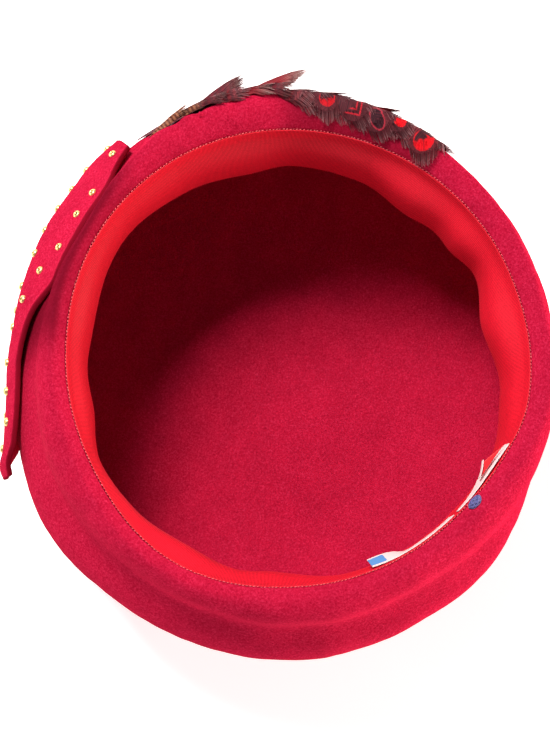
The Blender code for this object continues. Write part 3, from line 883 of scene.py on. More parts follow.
@dataclass(frozen=True)
class DyedFeather(Finish):
    """Pheasant feather, part dyed red.

    The web is a brown black with a wine cast, streaked along its barbs. A marking near its middle,
    an eye, a ring, a chevron or bars, takes the dye brightly. The loose barbs at the tip fade to a
    grey rose. Places on it are shares of its length and of its half width.
    """

    web: str = "#1e0b0f"
    wine: str = "#742c36"
    tip: str = "#987072"
    dye: str = "#c81422"
    inner: str = "#26101a"
    centre: float = 0.55
    half_length: float = 0.15
    half_width: float = 0.64
    line: float = 0.14  # width of the marking's outline, as a share of its radius
    line_from: float = -1.2  # the outline shows only this far ahead of the centre, in the marking's radii
    filled: float = 0.0  # how much of the marking is filled with dye
    fill_from: float = 0.0  # the filling shows only this far ahead of the centre
    tooth: float = 0.2  # how deep dark teeth cut into the filling's open side
    echo: float = 0.0  # where a second, smaller outline lies, as a share of the radius
    pointed: float = 0.0  # 0 for a round marking, 1 for one that comes to a point
    bars: float = 0.0  # strength of the cross bars
    streaked: float = 0.0  # 1 where dye runs along the barbs in place of the bars
    bar_pitch: float = 0.11
    streak: float = 0.75  # millimetres between streaks, some three barbs
    spread: float = 30.0  # millimetres of the barbs' count over which the web's tone drifts

    def dress(self, tree: Tree, shader: Node) -> None:
        """Builds its nodes."""
        map_uv = add_node(tree, "UVMap", uv_map="UVMap").outputs["UV"]
        split = add_node(tree, "SeparateXYZ", {"Vector": map_uv})
        along, side = split.outputs["X"], split.outputs["Y"]
        barb = add_node(tree, "Attribute", attribute_name="barb").outputs["Fac"]
        streaks = add_node(
            tree, "TexNoise",
            {"W": barb, "Scale": 1 / self.streak, "Detail": 3.0, "Roughness": 0.6},
            noise_dimensions="1D",
        ).outputs["Fac"]
        drift = add_node(
            tree, "TexNoise", {"W": barb, "Scale": 1 / self.spread}, noise_dimensions="1D",
        ).outputs["Fac"]
        tone = add_node(
            tree, "MapRange", {"Value": streaks, "From Min": 0.32, "From Max": 0.68},
        ).outputs["Result"]
        ahead = add_node(
            tree, "MapRange",
            {"Value": along, "From Min": self.centre, "From Max": self.centre + self.half_length},
            clamp=False,
        ).outputs["Result"]
        out = add_node(
            tree, "MapRange",
            {"Value": side, "From Min": 0.5, "From Max": 0.5 + self.half_width / 2},
            clamp=False,
        ).outputs["Result"]
        spot = add_node(tree, "CombineXYZ", {"X": ahead, "Y": out}).outputs["Vector"]
        round_reach = add_node(tree, "VectorMath", {0: spot}, operation="LENGTH").outputs["Value"]
        wide = add_node(tree, "Math", {0: out}, operation="ABSOLUTE").outputs[0]
        sharp_reach = add_node(tree, "Math", {0: ahead, 1: wide}, operation="ADD").outputs[0]
        reach = add_node(
            tree, "Mix", {0: self.pointed, 2: round_reach, 3: sharp_reach}, data_type="FLOAT",
        ).outputs[0]
        frayed = add_node(tree, "Math", {0: tone, 1: 0.12, 2: reach}, operation="MULTIPLY_ADD").outputs[0]
        inside, hollow, echo_outer, echo_inner = (
            add_node(
                tree, "MapRange", {"Value": frayed, "From Min": limit + 0.12, "From Max": limit},
                interpolation_type="SMOOTHSTEP",
            ).outputs["Result"]
            for limit in (1.0, 1.0 - self.line, self.echo, self.echo - self.line)
        )
        outline = add_node(tree, "Math", {0: inside, 1: hollow}, operation="SUBTRACT").outputs[0]
        line_shown = add_node(
            tree, "MapRange",
            {"Value": ahead, "From Min": self.line_from - 0.15, "From Max": self.line_from + 0.15},
            interpolation_type="SMOOTHSTEP",
        ).outputs["Result"]
        lined = add_node(tree, "Math", {0: outline, 1: line_shown}, operation="MULTIPLY").outputs[0]
        teeth = add_node(tree, "Math", {0: out, 1: 9.0}, operation="MULTIPLY").outputs[0]
        wave = add_node(tree, "Math", {0: teeth}, operation="COSINE").outputs[0]
        notched = add_node(
            tree, "Math", {0: wave, 1: -self.tooth, 2: ahead}, operation="MULTIPLY_ADD",
        ).outputs[0]
        cut_back = add_node(tree, "Math", {0: tone, 1: 0.35, 2: notched}, operation="MULTIPLY_ADD").outputs[0]
        fill_shown = add_node(
            tree, "MapRange",
            {
                "Value": cut_back, "From Min": self.fill_from, "From Max": self.fill_from + 0.3,
                "To Max": self.filled,
            },
            interpolation_type="SMOOTHSTEP",
        ).outputs["Result"]
        fill = add_node(tree, "Math", {0: hollow, 1: fill_shown}, operation="MULTIPLY").outputs[0]
        echoed = add_node(tree, "Math", {0: echo_outer, 1: echo_inner}, operation="SUBTRACT").outputs[0]
        echo_lined = add_node(
            tree, "Math", {0: echoed, 1: line_shown, 2: fill}, operation="MULTIPLY_ADD",
        ).outputs[0]
        marked = add_node(tree, "Math", {0: lined, 1: echo_lined}, operation="MAXIMUM").outputs[0]
        quill = add_node(
            tree, "MapRange",
            {"Value": wide, "From Min": 0.02, "From Max": 0.09, "To Min": 0.55, "To Max": 1.0},
        ).outputs["Result"]
        dyed = add_node(tree, "Math", {0: marked, 1: quill}, operation="MULTIPLY").outputs[0]
        wine_share = add_node(tree, "Math", {0: tone, 1: drift, 2: 0.16}, operation="MULTIPLY_ADD").outputs[0]
        cast = add_node(
            tree, "Mix", {0: wine_share, 6: linear(self.web), 7: linear(self.wine)}, data_type="RGBA",
        ).outputs[2]
        bar_wave = add_node(
            tree, "TexWave",
            {"Vector": map_uv, "Scale": 0.314 / self.bar_pitch, "Distortion": 1.2, "Detail": 1.0},
            bands_direction="X",
        ).outputs["Fac"]
        bar_place = add_node(tree, "Math", {0: bar_wave, 1: self.streaked}, operation="MAXIMUM").outputs[0]
        bar_tone = add_node(tree, "Math", {0: bar_place, 1: tone}, operation="MULTIPLY").outputs[0]
        barring = add_node(
            tree, "Math", {0: bar_tone, 1: 1.3 * self.bars}, operation="MULTIPLY", use_clamp=True,
        ).outputs[0]
        barred = add_node(
            tree, "Mix", {0: barring, 6: cast, 7: linear(self.dye)}, data_type="RGBA",
        ).outputs[2]
        loose = add_node(
            tree, "MapRange",
            {"Value": along, "From Min": self.centre + self.half_length * 1.1, "From Max": 0.95},
            interpolation_type="SMOOTHSTEP",
        ).outputs["Result"]
        uneven = add_node(
            tree, "Math", {0: tone, 1: 1.3, 2: -0.3}, operation="MULTIPLY_ADD", use_clamp=True,
        ).outputs[0]
        greyed = add_node(tree, "Math", {0: loose, 1: uneven}, operation="MULTIPLY").outputs[0]
        tipped = add_node(
            tree, "Mix", {0: greyed, 6: barred, 7: linear(self.tip)}, data_type="RGBA",
        ).outputs[2]
        dark_share = add_node(
            tree, "Math", {0: tone, 1: -0.6, 2: 1.0 - 0.5 * self.pointed}, operation="MULTIPLY_ADD",
        ).outputs[0]
        dark_middle = add_node(tree, "Math", {0: hollow, 1: dark_share}, operation="MULTIPLY").outputs[0]
        centred = add_node(
            tree, "Mix", {0: dark_middle, 6: tipped, 7: linear(self.inner)}, data_type="RGBA",
        ).outputs[2]
        dye_tone = add_node(
            tree, "MapRange", {"Value": tone, "To Min": 1.08, "To Max": 0.72},
        ).outputs["Result"]
        dye = add_node(tree, "HueSaturation", {"Color": linear(self.dye), "Value": dye_tone}).outputs["Color"]
        shade = add_node(tree, "Mix", {0: dyed, 6: centred, 7: dye}, data_type="RGBA").outputs[2]
        tree.links.new(shade, shader.inputs["Base Color"])
        grooves = add_node(
            tree, "Bump", {"Height": streaks, "Strength": 0.4, "Distance": 0.15 * MM},
        ).outputs["Normal"]
        tree.links.new(grooves, shader.inputs["Normal"])
        shader.inputs["Roughness"].default_value = 0.65
        shader.inputs["Specular IOR Level"].default_value = 0.12


@dataclass(frozen=True)
class PaleBoard(Finish):
    """Opal acrylic board under the hat, lit from below so that shadows on it stay light."""

    glow: float = 0.5
    shade: str = "#fcfbfa"
    clouded: str = "#f9f8f7"
    cloud: float = 300.0

    def dress(self, tree: Tree, shader: Node) -> None:
        """Builds its nodes."""
        place = add_node(tree, "TexCoord").outputs["Object"]
        patch = add_node(
            tree, "TexNoise", {"Vector": place, "Scale": per_mm(self.cloud), "Detail": 2.0},
        ).outputs["Fac"]
        shade = add_node(
            tree, "ValToRGB", {"Fac": patch}, ((0.3, self.clouded), (0.7, self.shade)),
        ).outputs["Color"]
        tree.links.new(shade, shader.inputs["Base Color"])
        shader.inputs["Emission Color"].default_value = linear(self.shade)
        shader.inputs["Emission Strength"].default_value = self.glow
        shader.inputs["Roughness"].default_value = 0.9


FELT = WoolFelt("wool_felt_brushed")
RIBBON = Grosgrain("rayon_grosgrain_woven")
GOLD = GoldPlate("brass_gold_plated")
TAPE = LabelTape("satin_label_tape_woven", stripe_end=0.0)
RED_TAPE = LabelTape("satin_label_tape_red_back", tape="#e41420", stripe_end=0.0)
STRIPED_TAPE = LabelTape("satin_label_tape_striped")
BLUE_THREAD = SewingThread("polyester_thread_blue", "#4c4e8a")
PINK_THREAD = SewingThread("polyester_thread_pink", "#ea5660")

FEATHER_FINISHES = {
    Marking.EYE: DyedFeather(
        "pheasant_feather_eyed", filled=1.0, fill_from=0.1, line_from=-0.6, half_length=0.14,
        half_width=0.6, tooth=0.08,
    ),
    Marking.BIG_EYE: DyedFeather(
        "pheasant_feather_large_eyed", filled=1.0, fill_from=-0.05, line_from=-0.8, half_length=0.17,
        half_width=0.66, dye="#e20a1c", wine="#7a2832", tooth=0.1, line=0.1,
    ),
    Marking.SPOT: DyedFeather(
        "pheasant_feather_spotted", filled=1.0, fill_from=-0.3, line_from=-0.3, half_length=0.16,
        half_width=0.42, dye="#ea0c1c", tooth=0.12,
    ),
    Marking.RING: DyedFeather(
        "pheasant_feather_ringed", dye="#a82c3c", half_length=0.21, half_width=0.52, line=0.15,
        line_from=-0.9,
    ),
    Marking.CHEVRON: DyedFeather(
        "pheasant_feather_chevron", dye="#be2030", line=0.22, pointed=1.0, half_length=0.17, half_width=0.66,
        line_from=-0.25, echo=0.32,
    ),
    Marking.BARRED: DyedFeather(
        "pheasant_feather_barred", dye="#6c1a26", half_width=0.05, half_length=0.05, bars=0.8, tip="#6e5a54",
    ),
    Marking.RED_STREAKED: DyedFeather(
        "pheasant_feather_red_streaked", dye="#96141f", half_width=0.05, half_length=0.05, bars=0.75,
        streaked=1.0, tip="#948c84", streak=0.9,
    ),
    Marking.BROWN_BARRED: DyedFeather(
        "pheasant_feather_brown_barred", dye="#a4694a", half_width=0.05, half_length=0.05, bars=0.9,
        tip="#8c6450", web="#2a100c", wine="#6c3224", bar_pitch=0.09,
    ),
    Marking.PLAIN: DyedFeather("pheasant_feather_plain", half_width=0.05, half_length=0.05, bars=0.2),
}


# ---- The felt shell ----

@dataclass
class FeltShell:
    """The blocked felt body: one closed wall, its edge turned down inside the brim's crest."""

    form: HatForm
    columns: int = 540
    rows: int = 84
    edge_steps: int = 4
    flat_shares: tuple = (0.86, 0.6, 0.3, 0.08)
    # Unevenness: height, size and seed. It fades in over the first rings and out above the flat crown.
    uneven: tuple = ((0.3, 20.0, 3), (0.08, 4.0, 4))
    uneven_rings: float = 2.5
    flat_fade: tuple = (97.0, 12.0)  # depth where it ends, and over how much
    relief_fade: tuple = (2.2, 1.6)  # ring where dents and creases start, and over how many
    painted_shade_fade: tuple = (1.9, 1.6)  # rings inside the crest where the painted shade gains, and over how many
    wall_rings: float = 3.0  # rings over which the thin edge reaches the full wall
    # Painted shade, a dark red where shade falls beside the wing and below the feathers: first and last turn,
    # fade, strength at the stitching, more past the crest.
    painted_shade_parts: tuple = ((126.0, 188.0, 16.0, 0.3, 0.5), (52.0, 98.0, 9.0, 0.5, 0.1))

    def runs(self) -> Array:
        """Ring numbers of the mesh's rows, closer together over the brim than down the side."""
        share = np.linspace(0, 1, self.rows)
        return (len(self.form.profile) - 1) * (0.55 * share + 0.45 * share**1.6)

    def outer(self) -> Array:
        """The outer face.

        Formula: the form's radius and depth at each turn and ring number, raised along the normal
        by the dents, the creases and a slight unevenness, and then the flat crown's own rings.

        Returns:
            Points in metres, as (rows, columns, 3), from the turned edge to the crown's middle.
        """
        turn, run = np.meshgrid(np.linspace(0, 360, self.columns, endpoint=False), self.runs())
        radius, depth = self.form.at_run(turn, run)
        grid = self.form.place(turn, radius, depth)
        start, reach = self.relief_fade
        rise = self.form.relief(turn, depth) * ease((run - start) / reach)
        uneven = sum(height * wobble(grid / MM, size, seed) for height, size, seed in self.uneven)
        end, reach = self.flat_fade
        fade = ease(run / self.uneven_rings) * ease((end - depth) / reach)
        grid = grid + self.normals(grid) * ((rise + uneven) * fade)[..., None] * MM
        flat = grid[-1:] * np.array(self.flat_shares)[:, None, None]
        flat[..., 2] = grid[-1, :, 2]
        return np.concatenate((grid, flat))

    @staticmethod
    def normals(grid: Array) -> Array:
        """The unit normals of a ring grid, pointing out of the hat."""
        normals, middle = grid_normals(grid, around=True), len(grid) // 2
        return normals * np.sign((normals[middle, 0] * grid[middle, 0])[:2].sum())

    def surface(self) -> Surface:
        """The whole wall.

        Formula: the inner face is the outer one moved in by the wall along its normal, thinner at
        the turned edge, and that edge is a half circle of rows from one to the other.

        Returns:
            The closed wall, with a pole in the middle of each side of the crown.
        """
        outer = self.outer()
        normals = self.normals(outer)
        normals[self.rows:] = (0.0, 0.0, -1.0)
        thickened = ease(self.runs() / self.wall_rings)
        wall = self.form.edge_wall + (self.form.wall - self.form.edge_wall) * thickened
        wall = np.concatenate((wall, np.full(len(self.flat_shares), self.form.wall)))
        inner = outer - normals * wall[:, None, None] * MM
        down = unit(outer[0] - outer[1])
        half = wall[0] * MM / 2
        angle = np.linspace(0, math.pi, self.edge_steps + 2)[1:-1, None, None]
        edge = (outer[0] + inner[0]) / 2 + half * (np.cos(angle) * normals[0] + np.sin(angle) * down)
        grid = np.concatenate((outer[::-1], edge, inner))
        rows = len(grid)
        numbers = np.arange(rows * self.columns).reshape(rows, self.columns)
        poles = np.array([outer[-1].mean(0), inner[-1].mean(0)])
        next_one = np.roll(numbers, -1, 1)
        first = np.stack((np.full(self.columns, numbers.size), numbers[0], next_one[0]), -1)
        last = np.stack((next_one[-1], numbers[-1], np.full(self.columns, numbers.size + 1)), -1)
        points = np.concatenate((grid.reshape(-1, 3), poles))
        # The mark for the painted shade beside the wing and below the feathers.
        painted_shade = np.zeros(numbers.shape)
        painted_shade[len(self.flat_shares):self.rows + len(self.flat_shares)] = self.painted_shade()[::-1]
        marks = {"painted_shade": np.concatenate((painted_shade.ravel(), (0.0, 0.0)))}
        return Surface(points, [quads(numbers, around=True), first, last], marks=marks).turned_out()

    def painted_shade(self) -> Array:
        """How much painted shade the outer face takes, beside the wing and below the feathers.

        Formula: each part fades in and out over its turns, and gains strength on the way to the crest.

        Returns:
            Shares, as (rows, columns).
        """
        turn, run = np.meshgrid(np.linspace(0, 360, self.columns, endpoint=False), self.runs())
        ahead, reach = self.painted_shade_fade
        past = ease((run - self.form.crest_ring + ahead) / reach)
        painted_shade = np.zeros_like(turn)
        for first, last, fade, near, more in self.painted_shade_parts:
            painted_shade += ease((turn - first) / fade) * ease((last - turn) / fade) * (near + more * past)
        return painted_shade

    def build(self) -> None:
        """Makes the shell in place of the CAD's felt body."""
        shell = add_piece("felt_shell", self.surface(), FELT)
        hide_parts("felt_body")


# ---- The sweatband ----

@dataclass
class Sweatband:
    """The grosgrain ribbon inside the brim, with its ribs, its looped edge and its stitches."""

    form: HatForm
    depth: float = 24.0
    drop: float = 0.15  # how far the ribbon's sewn edge is under the felt's edge
    gap: float = 0.12
    thickness: float = 0.6
    rib_count: int = 1060
    columns_per_rib: int = 3
    rows: int = 13
    rib_share: float = 0.5  # how much thinner the ribbon is between two ribs
    loop: float = 0.45  # how far the loops of the free edge stand out
    stitch_pitch: float = 1.4
    stitch_half: tuple = (0.44, 0.18, 0.15)
    stitch_inset: float = 0.15
    stitch_ring: float = 92.0  # radius by which the stitches are counted
    stitch_jitter: tuple = (0.12, 0.1)  # share of the pitch, and millimetres across
    stitch_slant: float = 0.28
    bellies: tuple = ((0.3, 7, 1.0), (0.2, 13, 0.0))  # height, waves round the hat, start
    # How the ribbon leans: share of its depth, share of its lean. It starts upright at the stitches,
    # turns in over a third of its depth and hangs nearly straight from there.
    lean: tuple = ((0.0, 0.0), (0.16, 0.06), (0.28, 0.26), (0.42, 0.58), (0.6, 0.8), (0.8, 0.92), (1.0, 1.0))
    # The free edge's radius at each crest and hollow of its waves.
    waves: tuple = (
        (12, 81.2), (27, 86.5), (37, 83.1), (43, 83.6), (54, 81.0), (70, 84.3), (90, 85.3), (103, 83.0),
        (122, 84.8), (141, 86.2), (172, 82.3), (184, 83.3), (193, 82.6), (210, 87.7), (224, 87.3),
        (241, 85.6), (255, 87.0), (265, 85.2), (284, 88.2), (312, 88.6), (336, 90.0), (352, 87.2),
    )

    def radius(self, turn: Array, share: Array) -> Array:
        """The radius of the ribbon's middle.

        Formula: the stitched edge's radius, plus the lean's share of the way to the free edge's
        radius, less a slight belly.

        Args:
            turn: turns in degrees.
            share: 0 at the stitches to 1 at the free edge.

        Returns:
            Radii in millimetres.
        """
        stitched = self.form.level("rim", turn) - self.gap - self.thickness / 2
        free = table_curve(self.waves, 1, turn, period=360.0, level=True) + self.thickness / 2
        angle = np.radians(turn)
        belly = sum(height * np.sin(angle * waves + start) for height, waves, start in self.bellies)
        leant = stitched + (free - stitched) * table_curve(self.lean, 1, share)
        return leant - np.abs(belly) * np.sin(np.pi * share)

    def ribbon(self) -> Surface:
        """The ribbon.

        Formula: a leaf about its middle, thinner by a cosine between the ribs, whose free edge has
        a loop for each two ribs.

        Returns:
            The closed ribbon, with a `rib` mark.
        """
        columns = self.rib_count * self.columns_per_rib
        width = edged(self.depth, self.thickness / 2, 2, self.rows - 5) / self.depth
        share, turn = np.meshgrid(width, np.linspace(0, 360, columns, endpoint=False), indexing="ij")
        phase = np.radians(turn) * self.rib_count
        rib = 0.5 + 0.5 * np.cos(phase)
        looped = self.loop * np.abs(np.cos(phase / 4)) * ease((share - 0.95) / 0.05)
        middle = self.form.place(turn, self.radius(turn, share), share * self.depth + self.drop + looped)
        inset = np.minimum(share, 1 - share) * self.depth
        thickness = rounded_thickness(inset, self.thickness, self.thickness / 2)
        surface = leaf(middle, thickness * (1 - self.rib_share * (1 - rib)) * MM, around=True)
        inner = rib[1:-1].ravel()
        surface.marks = {"rib": np.concatenate((rib.ravel(), inner))}
        return surface

    def stitches(self) -> Surface:
        """The stitches along the ribbon's sewn edge.

        Formula: ellipsoids on a ring at even turns, each slanted a little across the edge, with a
        small random change of place and length.

        Returns:
            All of the stitches as one surface.
        """
        chance = np.random.default_rng(11)
        count = int(2 * math.pi * self.stitch_ring / self.stitch_pitch)
        ahead, aside = self.stitch_jitter
        turn = (np.arange(count) + chance.uniform(-ahead, ahead, count)) * 360.0 / count
        radius = self.form.level("rim", turn) - self.stitch_inset + chance.uniform(-aside, aside, count)
        centre = self.form.place(turn, radius, np.full(count, -self.stitch_inset))
        angle = np.radians(turn) + np.pi / 2 + self.stitch_slant
        along = np.stack((np.cos(angle), np.sin(angle), np.zeros(count)), -1)
        across = np.stack((-np.sin(angle), np.cos(angle), np.zeros(count)), -1)
        polar = np.linspace(0.18, math.pi - 0.18, 6)
        round_ = np.linspace(0, 2 * math.pi, 6, endpoint=False)
        scale = chance.uniform(0.75, 1.1, count)[:, None, None, None]
        length, width, height = (half * MM for half in self.stitch_half)
        points = centre[:, None, None] + scale * (
            length * np.cos(polar)[None, :, None, None] * along[:, None, None]
            + np.sin(polar)[None, :, None, None] * (
                width * np.cos(round_)[None, None, :, None] * across[:, None, None]
                + height * np.sin(round_)[None, None, :, None] * np.array((0.0, 0.0, 1.0))
            )
        )
        numbers = np.arange(points[..., 0].size).reshape(points.shape[:3])
        faces = [quads(numbers, around=True), numbers[:, 0, ::-1], numbers[:, -1]]
        return Surface(points.reshape(-1, 3), faces).turned_out()

    def build(self) -> None:
        """Makes the ribbon in place of the CAD's sweatband, and its stitches."""
        band = add_piece("sweatband_ribbon", self.ribbon(), RIBBON)
        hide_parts("sweatband")
        stitches = add_piece("sweatband_stitches", self.stitches(), PINK_THREAD)
        round_length = 2 * math.pi * float(self.form.level("rim", np.arange(0.0, 360.0)).mean()) * MM


# ---- The felt wing and its studs ----

@dataclass
class FeltWing:
    """The leaf of thick felt round the front left side, set with gold studs."""

    form: HatForm
    wall: float = 2.5
    edge_round: float = 0.6
    columns: int = 150
    rows: int = 56
    lean: float = 0.22
    curl: float = 1.5  # how far the top edge bends in over its last millimetres
    curl_reach: float = 8.0
    belly: float = 1.1  # how far the middle of the face swells out
    belly_depth: tuple = (37.0, 9.0)  # its depth and reach
    belly_turn: tuple = (127.0, 8.0)  # the turn where it starts, and the reach of its fade
    curl_turn: tuple = (155.0, 12.0)  # the same for the curl
    mean_radius: float = 117.0
    flat: tuple = (0.056, 0.156)  # metres across and along, laid flat
    flat_area: float = 0.0066  # square metres of the leaf in that rectangle
    stud_radius: float = 1.75
    stud_sides: int = 20
    # Turn, the depth of the two edges, the depth above which it leaves the shell, and its stand-off.
    sections: tuple = (
        (127.0, 22.0, 46.0, 22.0, 3.6), (133.0, 19.0, 54.0, 19.0, 2.2), (140.0, 13.0, 61.0, 12.0, 1.0),
        (150.0, 12.0, 66.0, 12.0, 0.9), (160.0, 14.5, 68.0, 14.5, 0.9), (165.0, 17.5, 68.3, 20.0, 0.9),
        (170.0, 20.0, 68.0, 26.0, 0.9), (180.0, 23.5, 65.0, 32.0, 1.9), (190.0, 24.0, 58.0, 34.0, 1.2),
        (197.0, 26.0, 49.0, 34.0, 3.0), (200.0, 29.0, 43.0, 34.0, 5.4), (202.5, 32.0, 38.0, 34.0, 5.2),
    )
    # A stud's turned profile: radius as a share of its own, height in millimetres, and how much painted
    # darkness it takes: a painted dark reflection in the dimple and painted shade at its foot. It is a ring
    # about a dimple.
    stud_profile: tuple = (
        (1.0, -0.45, 0.3), (1.0, 0.3, 0.2), (0.95, 0.55, 0.0), (0.84, 0.85, 0.0), (0.7, 1.08, 0.0),
        (0.57, 1.15, 0.0), (0.46, 1.08, 0.2), (0.36, 0.85, 0.8), (0.2, 0.68, 1.0), (0.08, 0.66, 1.0),
    )

    def inner_radius(self, turn: Array, depth: Array) -> Array:
        """The inner face's radius.

        Formula: it follows the form, rises straight with its lean above the level where it leaves
        the shell, swells out by a bell about the shoulder, and bends in by a square near its top.

        Args:
            turn: turns in degrees.
            depth: depths in millimetres.

        Returns:
            Radii in millimetres.
        """
        leaves = table_curve(self.sections, 3, turn)
        top = table_curve(self.sections, 1, turn)
        held = self.form.radius(turn, np.maximum(depth, leaves))
        bent = np.clip(1 - (depth - top) / self.curl_reach, 0.0, 1.0) ** 2
        free, begun = (ease((turn - start) / reach) for start, reach in (self.curl_turn, self.belly_turn))
        deep, reach_deep = self.belly_depth
        swollen = self.belly * bump(depth - deep, reach_deep) * begun
        return (
            held - self.lean * np.maximum(leaves - depth, 0.0) + table_curve(self.sections, 4, turn)
            + swollen - self.curl * free * bent
        )

    def outer_point(self, turn: Array, depth: Array) -> Array:
        """Points of the outer face, the wall's thickness outside the inner one."""
        return self.form.place(turn, self.inner_radius(turn, depth) + self.wall, depth)

    def surface(self) -> Surface:
        """The leaf.

        Formula: a leaf about the middle of its two faces, slightly uneven, with squared cut edges.

        Returns:
            The closed leaf, with a mark of painted shade along its cut edges.
        """
        first, last = self.sections[0][0], self.sections[-1][0]
        arc = math.radians(last - first) * self.mean_radius
        along = edged(arc, self.edge_round, 4, self.columns)
        turn = first + (last - first) * along / arc
        top, bottom = (table_curve(self.sections, column, turn) for column in (1, 2))
        across = edged(1.0, 0.02, 4, self.rows)
        turn, across = np.meshgrid(turn, across)
        depth = top + (bottom - top) * across
        grid = self.form.place(turn, self.inner_radius(turn, depth) + self.wall / 2, depth)
        uneven = 0.2 * wobble(grid / MM, 16.0, 8) + 0.06 * wobble(grid / MM, 3.5, 9)
        grid = grid + grid_normals(grid) * uneven[..., None] * MM
        inset = np.minimum(np.minimum(across, 1 - across) * (bottom - top), np.minimum(along, arc - along))
        surface = leaf(grid, rounded_thickness(inset, self.wall, self.edge_round, square=3.0) * MM)
        # The mark for the painted shade along the cut edges.
        cut_edge_shade = 1 - ease(inset / self.edge_round)
        inside = cut_edge_shade[1:-1, 1:-1].ravel()
        surface.marks = {"cut_edge_shade": np.concatenate((cut_edge_shade.ravel(), inside))}
        return surface

    def studs(self) -> Surface:
        """The studs, each on the outer face where the CAD has it.

        Formula: a turned profile about the face's normal, which is the cross product of the
        face's two directions.

        Returns:
            All of the studs as one surface.
        """
        corners = np.array([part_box(name) for name in self.stud_names()], float)
        centre = corners.mean(1) / MM
        turn = np.mod(np.degrees(np.arctan2(centre[:, 1], centre[:, 0])), 360.0)
        depth = self.form.rim_height - centre[:, 2]
        step = 0.5
        foot = self.outer_point(turn, depth)
        first = unit(self.outer_point(turn + step, depth) - self.outer_point(turn - step, depth))
        second = unit(self.outer_point(turn, depth + step) - self.outer_point(turn, depth - step))
        normal = unit(np.cross(second, first))
        second = np.cross(first, normal)
        units = np.array([[self.stud_radius * MM], [MM], [1.0]])
        radius, height, dark_reflection_share = np.array(self.stud_profile).T * units
        angle = np.linspace(0, 2 * math.pi, self.stud_sides, endpoint=False)
        points = (
            foot[:, None, None]
            + height[None, :, None, None] * normal[:, None, None]
            + radius[None, :, None, None] * (
                np.cos(angle)[None, None, :, None] * first[:, None, None]
                + np.sin(angle)[None, None, :, None] * second[:, None, None]
            )
        )
        numbers = np.arange(points[..., 0].size).reshape(points.shape[:3])
        faces = [quads(numbers, around=True), numbers[:, 0, ::-1], numbers[:, -1]]
        dark_reflection = np.broadcast_to(dark_reflection_share[None, :, None], numbers.shape).ravel().copy()
        return Surface(points.reshape(-1, 3), faces, marks={"dark_reflection": dark_reflection}).turned_out()

    @staticmethod
    def stud_names() -> list[str]:
        """The CAD's studs, in order."""
        return sorted(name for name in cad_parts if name.startswith("stud_"))

    def build(self) -> None:
        """Makes the leaf and its studs in place of the CAD's."""
        surface = self.surface()
        wing = add_piece("felt_wing_leaf", surface, FELT)
        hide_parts("felt_wing")
        studs = add_piece("wing_studs", self.studs(), GOLD)
        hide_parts(*self.stud_names())


# ---- The feathers ----

@dataclass(frozen=True)
class Feather:
    """One feather: where its marking is, which way it lies and its size.

    Its reach is the length over the hat from the brim's crest, less than nothing inside it. Its
    heading is 0 along the hat, clockwise, and 90 straight towards the stitching. Its roll lifts
    the side away from the stitching. Sizes and lifts are in millimetres.
    """

    turn: float
    reach: float
    heading: float
    kind: Marking
    length: float = 22.0
    half_width: float = 5.5
    lift: float = 0.7
    tip_lift: float = 2.2
    roll: float = 0.0
    blunt: float = 0.0  # how squarely it is cut off, from 0 to 1
    sweep: float = 0.9  # how far barbs run ahead for each millimetre out from the quill


@dataclass
class TrimField:
    """The form under the feathers, over the brim and down the side, as a table to read places from."""

    form: HatForm
    first: float = 35.0
    last: float = 150.0
    shortest: float = -22.0
    longest: float = 90.0
    step: float = 0.5
    radii: Array = field(init=False)
    depths: Array = field(init=False)

    def __post_init__(self) -> None:
        """Works the table out.

        Formula: at each whole turn, the profile from the turned edge outwards, bridged over the
        groove, read at even lengths from the crest. Before its start it goes straight on.
        """
        turns = np.arange(self.first, self.last + 1)
        runs = np.linspace(1.0, len(self.form.profile) - 1.0, 500)
        turn, run = np.meshgrid(turns, runs)
        radius, depth = self.form.at_run(turn, run)
        radius = np.where(run > self.form.crest_ring, self.form.bridged(turn, depth), radius)
        steps = np.hypot(np.diff(radius, axis=0), np.diff(depth, axis=0))
        lengths = np.concatenate((np.zeros((1, len(turns))), np.cumsum(steps, 0)))
        crest = np.argmin(np.abs(runs - self.form.crest_ring))
        lengths = lengths - lengths[crest]
        ahead, over = 12.0, 20  # millimetres that it goes on, by the slope over so many rows
        stretch = ahead / (lengths[over] - lengths[0])
        radius = np.concatenate((radius[:1] + (radius[0] - radius[over]) * stretch, radius))
        depth = np.concatenate((depth[:1] + (depth[0] - depth[over]) * stretch, depth))
        lengths = np.concatenate((lengths[:1] - ahead, lengths))
        at = np.arange(self.shortest, self.longest, self.step)
        columns = range(len(turns))
        self.radii = np.stack([np.interp(at, lengths[:, k], radius[:, k]) for k in columns], 1)
        self.depths = np.stack([np.interp(at, lengths[:, k], depth[:, k]) for k in columns], 1)

    def read(self, turn: Array, reach: Array) -> tuple[Array, Array, Array, Array]:
        """Radii, depths and the two parts of the outward normal, between the table's own places.

        Args:
            turn: turns in degrees.
            reach: lengths from the crest in millimetres, in the same shape.

        Returns:
            Radii, depths, and the normal's parts along radius and depth, each in that shape.
        """
        row = np.clip((reach - self.shortest) / self.step, 1.0, len(self.radii) - 2.01)
        column = np.clip(turn - self.first, 0.0, self.last - self.first - 1.01)
        i, j = row.astype(int), column.astype(int)
        u, v = row - i, column - j

        def between(table: Array) -> Array:
            """The table's value between its four nearest places."""
            upper = table[i, j] * (1 - v) + table[i, j + 1] * v
            return upper * (1 - u) + (table[i + 1, j] * (1 - v) + table[i + 1, j + 1] * v) * u

        across = between(np.gradient(self.radii, axis=0))
        down = between(np.gradient(self.depths, axis=0))
        length = np.hypot(across, down)
        return between(self.radii), between(self.depths), down / length, -across / length


